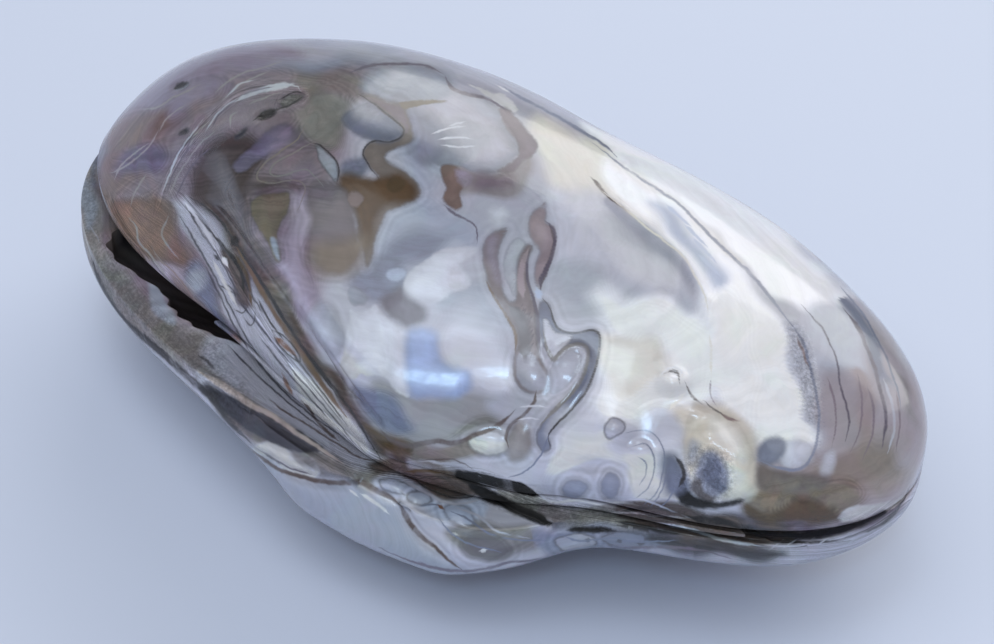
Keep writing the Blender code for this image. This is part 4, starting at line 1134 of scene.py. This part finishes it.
def camera_frame():
    """Where the camera is, and its right, up and backward directions."""
    turn, lift = np.radians(CAMERA_AZIMUTH), np.radians(CAMERA_ELEVATION)
    back = np.array([np.sin(turn) * np.cos(lift), -np.cos(turn) * np.cos(lift), np.sin(lift)])
    right = np.array([np.cos(turn), np.sin(turn), 0.0])
    return CAMERA_TARGET + back * CAMERA_DISTANCE, right, np.cross(back, right), back


def make_camera():
    place, right, up, back = camera_frame()
    data = bpy.data.cameras.new("camera")
    data.lens = LENS
    data.sensor_width = SENSOR
    data.clip_end = CAMERA_SIGHT
    camera = bpy.data.objects.new("camera", data)
    turned = Matrix((right, up, back)).transposed().to_4x4()
    camera.matrix_world = Matrix.Translation(Vector(place * MM)) @ turned
    bpy.context.collection.objects.link(camera)
    bpy.context.scene.camera = camera


def seen_by_camera(points, normals):
    """Where points fall in the picture, and how squarely they face the camera."""
    eye, right, up, back = camera_frame()
    away = points - eye
    depth = -(away @ back)
    scale = LENS / SENSOR * PICTURE_SIZE[0]
    places = np.stack([PICTURE_SIZE[0] / 2 + scale * (away @ right) / depth,
                       PICTURE_SIZE[1] / 2 - scale * (away @ up) / depth], -1)
    facing = -(normals * away).sum(1) / np.linalg.norm(away, axis=1)
    return places, facing


def vertex_normals(points, faces):
    corners = points[faces]
    face = np.cross(corners[:, 2] - corners[:, 0], corners[:, 3] - corners[:, 1])
    normals = np.zeros_like(points)
    for k in range(4):
        np.add.at(normals, faces[:, k], face)
    return normals / np.maximum(np.linalg.norm(normals, axis=1, keepdims=True), NO_LENGTH)


def tone(name):
    """A named shade in linear light, by the curve that screens use."""
    shade = np.array(SHADES[name]) / 255
    return np.where(shade <= 0.04045, shade / 12.92, ((shade + 0.055) / 1.055) ** 2.4)


def as_paint(shades, gain):
    """Paint that gives a shade once it is lit and its gloss is added."""
    return np.minimum(np.maximum(shades * gain - GLOSS, shades * LEAST_PAINT), BRIGHTEST)


def spread(rows, settings):
    """One row for each outline, without the name: settings, then the outline."""
    return [(*row[1:settings], course) for row in rows for course in row[settings:]]


def smooth_course(course, closed):
    """A smooth curve through the points of a course."""
    points = np.array(course, float).reshape(-1, 2)
    if closed:
        before, start, end, after = (np.roll(points, shift, 0) for shift in (1, 0, -1, -2))
    else:
        padded = np.concatenate([2 * points[:1] - points[1:2], points, 2 * points[-1:] - points[-2:-1]])
        before, start, end, after = padded[:-3], padded[1:-2], padded[2:-1], padded[3:]
    before, start, end, after = before[:, None], start[:, None], end[:, None], after[:, None]
    t = np.linspace(0, 1, CURVE_STEPS, endpoint=False)[None, :, None]
    twist = 3 * start - before - 3 * end + after
    bend = 2 * before - 5 * start + 4 * end - after
    curve = (start + 0.5 * t * (end - before + t * (bend + t * twist))).reshape(-1, 2)
    return curve if closed else np.concatenate([curve, points[-1:]])


def measure(places, curve, closed):
    """Distance from places to a curve, share of the way along, offset to one side, and whether inside."""
    start = curve if closed else curve[:-1]
    way = (np.roll(curve, -1, 0) if closed else curve[1:]) - start
    length = np.hypot(way[:, 0], way[:, 1])
    run = np.concatenate([[0], np.cumsum(length)])[:-1]
    best = np.full(len(places), np.inf)
    along = np.zeros(len(places))
    side = np.zeros(len(places))
    inside = np.zeros(len(places), bool)
    x, y = places[:, 0], places[:, 1]
    for k in range(len(start)):
        step_x, step_y = way[k]
        off_x, off_y = x - start[k, 0], y - start[k, 1]
        reach = np.clip((off_x * step_x + off_y * step_y) / max(length[k] ** 2, TINY), 0, 1)
        away = np.hypot(off_x - reach * step_x, off_y - reach * step_y)
        closer = away < best
        best[closer] = away[closer]
        along[closer] = (run[k] + reach * length[k])[closer]
        side[closer] = ((off_x * step_y - off_y * step_x) / max(length[k], TINY))[closer]
        if closed and step_y != 0:
            crossed = (off_y < 0) != (off_y < step_y)
            inside ^= crossed & (off_x < off_y * step_x / step_y)
    return best, along / max(run[-1] + length[-1], TINY), side, inside


def close_by(places, course, margin):
    """Which places are in the course's box with a margin around it."""
    points = np.array(course, float).reshape(-1, 2)
    low, high = points.min(0) - margin, points.max(0) + margin
    return np.flatnonzero(((places > low) & (places < high)).all(1))


def depth_inside(places, course):
    """Distance to a closed course, positive inside it."""
    away, _, _, inside = measure(places, smooth_course(course, True), True)
    return np.where(inside, away, -away)


def soft_area(places, soft, course):
    """How much each place is inside a soft-edged area."""
    amount = np.zeros(len(places))
    chosen = close_by(places, course, soft)
    amount[chosen] = ease(0.5 + depth_inside(places[chosen], course) / (2 * soft))
    return amount


def largest_area(places, rows):
    """How much each place is inside the one of several areas that it is in the most."""
    amount = np.zeros(len(places))
    for _, soft, course in rows:
        amount = np.maximum(amount, soft_area(places, soft, course))
    return amount


def layer_of(rows, margin, closed, most):
    """Gives each mark a layer apart from its neighbours' and above the areas that it covers."""
    curves, layers = [], []
    for row in rows:
        curve = smooth_course(row[-1], closed)
        low, high = curve.min(0) - margin, curve.max(0) + margin
        taken, lowest = set(), 0
        for other, layer in zip(curves, layers):
            if (low > other.max(0) + margin).any() or (high < other.min(0) - margin).any():
                continue
            space = np.hypot(*(curve[:, None] - other[None]).transpose(2, 0, 1)).min()
            covered = closed and (space < TOUCHING or measure(curve[:1], other, True)[3][0]
                                  or measure(other[:1], curve, True)[3][0])
            if covered:
                lowest = max(lowest, layer + 1)
            if space < 2 * margin:
                taken.add(layer)
        free = [layer for layer in range(lowest, most) if layer not in taken]
        curves.append(curve)
        layers.append(free[0] if free else most - 1)
    return layers


def lay_patches(places, seen, gain):
    """Patches as layers of colour with distance to the outline, and edge settings."""
    rows = spread(PATCHES, 5)
    layers = layer_of(rows, PATCH_MARGIN, True, PATCH_LAYERS)
    sheets = []
    for layer in range(max(layers) + 1):
        colour, edge = np.zeros((2, len(places), 4))
        colour[:, 3] = -FAR
        pull = np.full(len(places), TINY)
        for (shade, soft, line, rings, course), own in zip(rows, layers):
            if own != layer:
                continue
            chosen = close_by(places, course, FAR)
            depth = depth_inside(places[chosen], course)
            away = np.abs(depth)
            weight = np.where(depth > 0, INSIDE_WEIGHT, np.exp(-away / NEIGHBOUR_FADE))
            fade = ease((FAR - away) / FAR_FADE)
            pull[chosen] += weight
            colour[chosen, :3] += weight[:, None] * tone(shade)
            traits = np.stack([soft + 0 * away, line * fade, 0 * away, rings * fade], -1)
            edge[chosen] += weight[:, None] * traits
            colour[chosen, 3] = np.maximum(colour[chosen, 3], depth)
        colour[:, :3] = as_paint(colour[:, :3] / pull[:, None], gain)
        edge /= pull[:, None]
        edge[:, 0] = np.maximum(edge[:, 0], LEAST_SOFT)
        edge[:, 2] = seen
        sheets.append((colour, edge))
    return sheets


def lay_strokes(places, seen, gain):
    """Strokes as layers of colour with signed distance to the course, and half width, opacity."""
    rows = spread(STROKES, 4)
    layers = layer_of(rows, STROKE_MARGIN, False, STROKE_LAYERS)
    sheets = []
    for layer in range(max(layers) + 1):
        colour, edge = np.zeros((2, len(places), 4))
        colour[:, 3] = FAR
        nearest = np.full(len(places), np.inf)
        for (shade, first, last, course), own in zip(rows, layers):
            if own != layer:
                continue
            chosen = close_by(places, course, STROKE_REACH)
            away, along, side, _ = measure(places[chosen], smooth_course(course, False), False)
            win = away < nearest[chosen]
            chosen, away, along, side = chosen[win], away[win], along[win], side[win]
            nearest[chosen] = away
            half = (first + (last - first) * along) / 2
            taper = np.clip(np.minimum(along, 1 - along) / STROKE_TAPER, STROKE_END_WIDTH, 1)
            end = (along <= 0) | (along >= 1)
            past = np.sqrt(np.maximum(away ** 2 - side ** 2, 0))
            shown = ease((half + STROKE_SEEN - away) / STROKE_SEEN_FADE)
            colour[chosen, :3] = tone(shade)
            colour[chosen, 3] = np.where(end, side, away * np.where(side < 0, -1, 1))
            edge[chosen, 0] = half * taper
            edge[chosen, 1] = shown * np.where(end, ease(1 - past / STROKE_END_FADE), 1)
        edge[:, 1] *= seen
        colour[:, :3] = as_paint(colour[:, :3], gain)
        sheets.append((colour, edge))
    return sheets


def carved(points, faces):
    """Points pushed out or in where the shell has ridges, bumps, grooves and pits."""
    normals = vertex_normals(points, faces)
    places, facing = seen_by_camera(points, normals)
    push = np.zeros(len(points))
    for _, width, height, course in RIDGES:
        chosen = close_by(places, course, 2 * width)
        away, along, _, _ = measure(places[chosen], smooth_course(course, False), False)
        taper = ease(np.minimum(along, 1 - along) / RIDGE_TAPER)
        push[chosen] += height * taper * bell(away, width)
    for _, x, y, half_long, half_wide, tilt, height in BUMPS:
        turn = np.radians(tilt)
        off = places - (x, y)
        u = (off[:, 0] * np.cos(turn) + off[:, 1] * np.sin(turn)) / half_long
        v = (off[:, 1] * np.cos(turn) - off[:, 0] * np.sin(turn)) / half_wide
        push += height * np.exp(-(u * u + v * v) ** BUMP_SQUARENESS)
    least, over = CARVE_FACING
    return points + normals * (push * ease((facing - least) / over))[:, None]


def growth_of(points):
    """How far each point is from the beak towards the shell's margin, and lower down a little more."""
    turn = np.linspace(0, 2 * np.pi, MARGIN_STEPS, endpoint=False)
    margin = seam_radius(turn)[:, None] * ray(turn) + CENTRE[:2] - BEAK
    angle = np.arctan2(margin[:, 1], margin[:, 0])
    order = np.argsort(angle)
    away = points[:, :2] - BEAK
    own_angle = np.arctan2(away[:, 1], away[:, 0])
    reach = np.interp(own_angle, angle[order], np.hypot(*margin[order].T), period=2 * np.pi)
    level = np.abs(points[:, 2] - SEAM_HEIGHT) / SEAM_HEIGHT
    return np.hypot(*away.T) / reach + GROWTH_BY_HEIGHT * (1 - level)


def wavering(places):
    """Places moved about a little, so that soft edges aren't smooth."""
    x, y = places.T
    (first, second), (third, fourth) = WAVER_LENGTHS
    waves = (np.sin(y / first + np.sin(x / second)), np.sin(x / third + np.sin(y / fourth)))
    return places + FIELD_WAVER * np.stack(waves, -1)


def lay_fields(places):
    """Soft areas painted over each other: the tint, a level that rises into each, and how near an edge is."""
    wavy = wavering(places)
    tint = np.tile(tone("pearl"), (len(places), 1))
    level, border = np.zeros(len(places)), np.zeros(len(places))
    for shade, soft, course in spread(FIELDS, 3):
        amount = soft_area(wavy, soft, course)
        level += 2 * soft * amount
        border = np.maximum(border * (1 - amount), 4 * amount * (1 - amount))
        tint = tint * (1 - amount)[:, None] + tone(shade) * amount[:, None]
    return tint, level, border


def follow_guides(places):
    """Place across and along the nearest guide."""
    across, along = np.full(len(places), GUIDE_REACH), np.zeros(len(places))
    for course in GUIDES:
        away, run, side, _ = measure(places, smooth_course(course, False), False)
        closer = away < np.abs(across)
        across[closer] = (away * side)[closer]
        along[closer] = run[closer]
    return across, along


def paint(thing, points, normals, inside):
    """Gives every point of a piece its marks and its tints."""
    places, facing = seen_by_camera(points, normals)
    least, over = PAINT_FACING
    seen = ease((facing - least) / over) * (1 - inside)
    tint, level, border = lay_fields(places)
    banding = ease((BANDED_BELOW - tint.mean(1) ** (1 / SCREEN_GAMMA)) / BANDED_OVER)
    lit = np.maximum(normals @ (LIT_FROM / np.linalg.norm(LIT_FROM)), 0)
    gain = (PAINT_LEVEL / (LEAST_LIT + (1 - LEAST_LIT) * lit))[:, None]
    # Inside the hollow the tint is a dark sepia: painted shade for the shadowed inside.
    tint = as_paint(tint, gain) * (1 - inside[:, None]) + tone("sepia") * inside[:, None]
    grit, streak = largest_area(places, GRIT), largest_area(places, STREAKS)
    across, along = follow_guides(places)
    add_layer(thing, "tint", np.column_stack([tint, np.maximum(seen, inside)]))
    add_layer(thing, "traits", np.column_stack([growth_of(points), banding, grit * seen, inside]))
    add_layer(thing, "contour", np.column_stack([level, border * seen, 0 * level, 0 * level]))
    add_layer(thing, "flow", np.column_stack([across, along, streak * seen, seen]))
    patches, strokes = lay_patches(places, seen, gain), lay_strokes(places, seen, gain)
    for kind, sheets in (("patch", patches), ("stroke", strokes)):
        for number, (colour, edge) in enumerate(sheets):
            add_layer(thing, "%s_%d" % (kind, number), colour)
            add_layer(thing, "%s_edge_%d" % (kind, number), edge)
    return len(patches), len(strokes)


def add_layer(thing, name, values):
    layer = thing.data.attributes.new(name, "FLOAT_COLOR", "POINT")
    layer.data.foreach_set("color", values.astype(np.float32).ravel())


class Nodes:
    """Short names for building a material's nodes."""

    def __init__(self, name):
        self.material = bpy.data.materials.new(name)
        self.material.use_nodes = True
        self.tree = self.material.node_tree
        self.shader = self.tree.nodes["Principled BSDF"]

    def add(self, kind, inputs=(), **settings):
        node = self.tree.nodes.new(kind)
        for key, value in settings.items():
            setattr(node, key, value)
        for key, value in dict(inputs).items():
            self.put(node.inputs[key], value)
        return node

    def put(self, socket, value):
        if isinstance(value, bpy.types.NodeSocket):
            self.tree.links.new(value, socket)
        else:
            socket.default_value = value

    def math(self, operation, *values):
        return self.add("ShaderNodeMath", enumerate(values), operation=operation).outputs[0]

    def times(self, first, second):
        return self.math("MULTIPLY", first, second)

    def scaled(self, value, by, plus):
        return self.math("MULTIPLY_ADD", value, by, plus)

    def ramp(self, value, low, high, first=0.0, last=1.0):
        """Smoothly from first to last as value goes from low to high."""
        spans = {"Value": value, "From Min": low, "From Max": high, "To Min": first, "To Max": last}
        return self.add("ShaderNodeMapRange", spans, interpolation_type="SMOOTHSTEP").outputs[0]

    def swing(self, value, low=NOISE_LOW, high=NOISE_HIGH):
        """A noise stretched out to go from -1 to 1."""
        return self.ramp(value, low, high, -1.0, 1.0)

    def mix(self, amount, first, second, blend="MIX"):
        node = self.add("ShaderNodeMix", data_type="RGBA", blend_type=blend)
        for socket, value in zip((node.inputs[0], node.inputs[6], node.inputs[7]), (amount, first, second)):
            self.put(socket, value)
        return node.outputs[2]

    def shaded(self, colour, value):
        """A colour made darker or lighter."""
        return self.mix(1.0, colour, self.colour(value, value, value), "MULTIPLY")

    def colour(self, red, green, blue):
        return self.add("ShaderNodeCombineColor", {"Red": red, "Green": green, "Blue": blue}).outputs[0]

    def point(self, x, y, z):
        return self.add("ShaderNodeCombineXYZ", {"X": x, "Y": y, "Z": z}).outputs[0]

    def noise(self, place, scale, detail, rough, warp):
        return self.add("ShaderNodeTexNoise", {"Vector": place, "Scale": scale, "Detail": detail,
                                               "Roughness": rough, "Distortion": warp}).outputs[0]

    def read(self, name):
        """An attribute's three parts, its colour and its fourth part."""
        node = self.add("ShaderNodeAttribute", attribute_name=name)
        parts = self.add("ShaderNodeSeparateColor", {"Color": node.outputs["Color"]})
        return (*parts.outputs, node.outputs["Color"], node.outputs["Alpha"])


def nacre(name, patch_count, stroke_count):
    """Polished nacre: marks over soft tints, growth lines, streaks, and gritty parts."""
    n = Nodes(name)
    place = n.add("ShaderNodeTexCoord").outputs["Object"]
    growth, banding, grit, _, inside = n.read("traits")
    across, along, streak, _, _ = n.read("flow")
    _, _, _, tint, known = n.read("tint")
    slow, swirl, mottle, fine = (n.noise(place, *noise) for noise in (SLOW_NOISE, SWIRL_NOISE, MOTTLE_NOISE,
                                                                      FINE_NOISE))
    wobble = n.times(n.math("SUBTRACT", n.noise(place, *WOBBLE_NOISE), 0.5), EDGE_WOBBLE)

    colour = n.mix(known, hidden_colour(n, growth, slow, swirl), tint)
    depth = n.scaled(banding, *CLOUD_DEPTHS)
    clouds = n.scaled(n.swing(swirl), depth, 1.0)
    clouds = n.scaled(n.swing(fine), n.times(depth, FINE_CLOUDS), clouds)
    colour = n.shaded(colour, clouds)
    colour = n.shaded(colour, contour_lines(n, slow, banding))
    for number in range(patch_count):
        colour = patches_over(n, number, colour, slow, swirl, mottle, wobble)
    colour = n.shaded(colour, growth_lines(n, growth, banding, swirl))

    bend = n.scaled(slow, STREAK_DRIFT, across)
    flow = n.point(n.times(bend, STREAK_ACROSS), n.times(along, STREAK_ALONG), slow)
    lined = n.times(n.swing(n.noise(flow, *STREAK_NOISE), STREAK_LOW, STREAK_HIGH), streak)
    colour = n.shaded(colour, n.scaled(lined, *STREAK_SHADES))
    for number in range(stroke_count):
        colour = strokes_over(n, number, colour, mottle, wobble)

    speck = n.noise(place, *SPECK_NOISE)
    gritty = n.times(n.ramp(speck, SPECK_LOW, SPECK_HIGH, *SPECK_SHADES),
                     n.ramp(fine, NOISE_LOW, NOISE_HIGH, *FINE_SHADES))
    colour = n.mix(grit, colour, n.shaded(colour, gritty))
    colour = n.mix(1.0, colour, lustre(n, slow, swirl, banding), "MULTIPLY")
    n.put(n.shader.inputs["Base Color"], colour)

    polish = n.ramp(fine, NOISE_LOW, NOISE_HIGH, *POLISH)
    n.put(n.shader.inputs["Roughness"], n.scaled(n.math("MAXIMUM", grit, inside), DULLING, polish))
    height = n.times(n.ramp(speck, NOISE_LOW, SPECK_TOP), grit)
    height = n.scaled(lined, STREAK_HEIGHT, height)
    height = n.scaled(swirl, SWIRL_HEIGHT, height)
    bump = n.add("ShaderNodeBump", {"Height": height, "Distance": BUMP_DISTANCE, "Strength": BUMP_STRENGTH})
    n.put(n.shader.inputs["Normal"], bump.outputs[0])
    for socket, value in GLOW:
        n.shader.inputs[socket].default_value = value
    return n.material


def contour_lines(n, slow, banding):
    """Fine lines along the edges of the soft tints, stronger where the nacre is dark."""
    level, border, _, _, _ = n.read("contour")
    waves = n.math("SINE", n.scaled(slow, CONTOUR_DRIFT, n.times(level, CONTOUR_RATE)))
    return n.math("ADD", n.times(n.times(waves, border), n.scaled(banding, *CONTOUR_DEPTHS)), 1.0)


def patches_over(n, number, colour, slow, swirl, mottle, wobble):
    """The colour with one layer of patches over it, each with rings around it and an outline."""
    _, _, _, shade, depth = n.read("patch_%d" % number)
    soft, line, shown, _, rings = n.read("patch_edge_%d" % number)
    depth = n.math("ADD", depth, wobble)
    near_edge = n.math("ABSOLUTE", depth)
    drift = n.scaled(slow, RING_DRIFT, near_edge)
    waves = n.math("SINE", n.times(drift, RING_RATE))
    fade = n.math("POWER", RING_FADE, near_edge)
    ringed = n.times(n.times(waves, fade), n.times(rings, shown))
    colour = n.shaded(colour, n.scaled(ringed, -RING_DEPTH, 1.0))
    cover = n.times(n.ramp(n.math("DIVIDE", depth, soft), -1.0, 1.0), shown)
    shading = n.ramp(depth, 0.0, PATCH_SHADE_REACH, PATCH_EDGE_SHADE, PATCH_MIDDLE_SHADE)
    shading = n.times(shading, n.ramp(n.math("ADD", swirl, n.times(mottle, WORN_MOTTLE)), *WORN_RAMP))
    colour = n.mix(cover, colour, n.shaded(shade, shading))
    rim = n.times(n.ramp(near_edge, 0.0, OUTLINE_WIDTH, 1.0, 0.0), n.times(line, shown))
    return n.mix(n.times(rim, OUTLINE_STRENGTH), colour, OUTLINE_COLOUR)


def strokes_over(n, number, colour, mottle, wobble):
    """The colour with one layer of strokes over it."""
    _, _, _, shade, away = n.read("stroke_%d" % number)
    half, shown, _, _, _ = n.read("stroke_edge_%d" % number)
    away = n.math("ABSOLUTE", n.scaled(wobble, STROKE_WOBBLE, away))
    blur = n.scaled(half, *STROKE_BLURS)
    cover = n.ramp(n.math("DIVIDE", n.math("SUBTRACT", half, away), blur), -1.0, 1.0)
    cover = n.times(n.times(cover, shown), n.ramp(mottle, *STROKE_WEAR))
    return n.mix(cover, colour, shade)


def hidden_colour(n, growth, slow, swirl):
    """Marbled growth zones for the sides that the picture doesn't show."""
    zone = n.scaled(growth, ZONE_RATE, n.scaled(slow, ZONE_DRIFT, n.times(swirl, ZONE_SWIRL)))
    ramp = n.add("ShaderNodeValToRGB", {"Fac": n.math("FRACT", zone)})
    stops = ramp.color_ramp.elements
    while len(stops) < len(ZONES):
        stops.new(0.5)
    for stop, (name, where) in zip(stops, ZONES):
        stop.position = where
        stop.color = (*tone(name), 1)
    return ramp.outputs[0]


def growth_lines(n, growth, banding, swirl):
    """Fine bands that follow the shell's margin, stronger where the nacre is dark."""
    bent = n.scaled(swirl, GROWTH_DRIFT, growth)
    bands = n.noise(n.point(n.times(bent, GROWTH_RATE), 0.0, 0.0), *GROWTH_NOISE)
    depth = n.scaled(banding, *GROWTH_DEPTHS)
    return n.scaled(n.swing(bands, GROWTH_LOW, GROWTH_HIGH), depth, 1.0)


def lustre(n, slow, swirl, banding):
    """Faint rainbow tints that drift over the surface, stronger where the nacre is dark."""
    depth = n.scaled(banding, DARK_LUSTRE, LUSTRE)
    phase = n.times(n.scaled(swirl, LUSTRE_SWIRL, slow), LUSTRE_RATE)
    waves = (n.math("SINE", n.math("ADD", phase, shift)) for shift in LUSTRE_SHIFTS)
    return n.colour(*(n.scaled(wave, depth, 1.0) for wave in waves))


def area_light(name, place, target, size, watts, colour):
    data = bpy.data.lights.new(name, "AREA")
    data.shape = "RECTANGLE"
    data.size, data.size_y = size
    data.energy = watts
    data.color = colour
    light = bpy.data.objects.new(name, data)
    light.location = place
    aim = Vector(target) - Vector(place)
    light.rotation_euler = aim.to_track_quat("-Z", "Y").to_euler()
    bpy.context.collection.objects.link(light)


def make_floor():
    mesh = bpy.data.meshes.new("floor")
    corners = [(x * FLOOR_REACH, y * FLOOR_REACH, 0) for x, y in ((-1, -1), (1, -1), (1, 1), (-1, 1))]
    mesh.from_pydata(corners, [], [(0, 1, 2, 3)])
    floor = bpy.data.objects.new("floor", mesh)
    bpy.context.collection.objects.link(floor)
    n = Nodes("floor")
    n.put(n.shader.inputs["Base Color"], (*FLOOR_COLOUR, 1))
    n.put(n.shader.inputs["Roughness"], FLOOR_ROUGHNESS)
    mesh.materials.append(n.material)


def make_room():
    world = bpy.data.worlds.new("room")
    bpy.context.scene.world = world
    world.use_nodes = True
    background = world.node_tree.nodes["Background"]
    background.inputs["Color"].default_value = ROOM_COLOUR
    background.inputs["Strength"].default_value = ROOM_STRENGTH
    bpy.context.scene.view_settings.view_transform = "Standard"


def build_piece(name, points, faces, inside, node, slot):
    points = carved(points * (PLAN_FIT, PLAN_FIT, 1), faces)
    thing = make_mesh(name, points, faces)
    patch_count, stroke_count = paint(thing, points, vertex_normals(points, faces), inside)
    thing.data.materials.append(nacre(slot, patch_count, stroke_count))
    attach(thing, "root")
    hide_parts(node)


def build_valve(name, shell, node, slot):
    points, faces = shell.arrays()
    inside = (np.arange(len(points)) >= shell.outer_count).astype(float)
    build_piece(name, points, faces, inside, node, slot)


make_camera()
build_valve("upper_valve_nacre", upper_shell(), "upper_valve", "nacre_upper")
build_valve("lower_valve_nacre", lower_shell(), "lower_valve", "nacre_lower")
strip_points, strip_faces = ligament_strip()
build_piece("ligament_strip", strip_points, strip_faces, np.zeros(len(strip_points)), "hinge_ligament",
            "dried_ligament")
make_floor()
for light in LIGHTS:
    area_light(*light)
make_room()
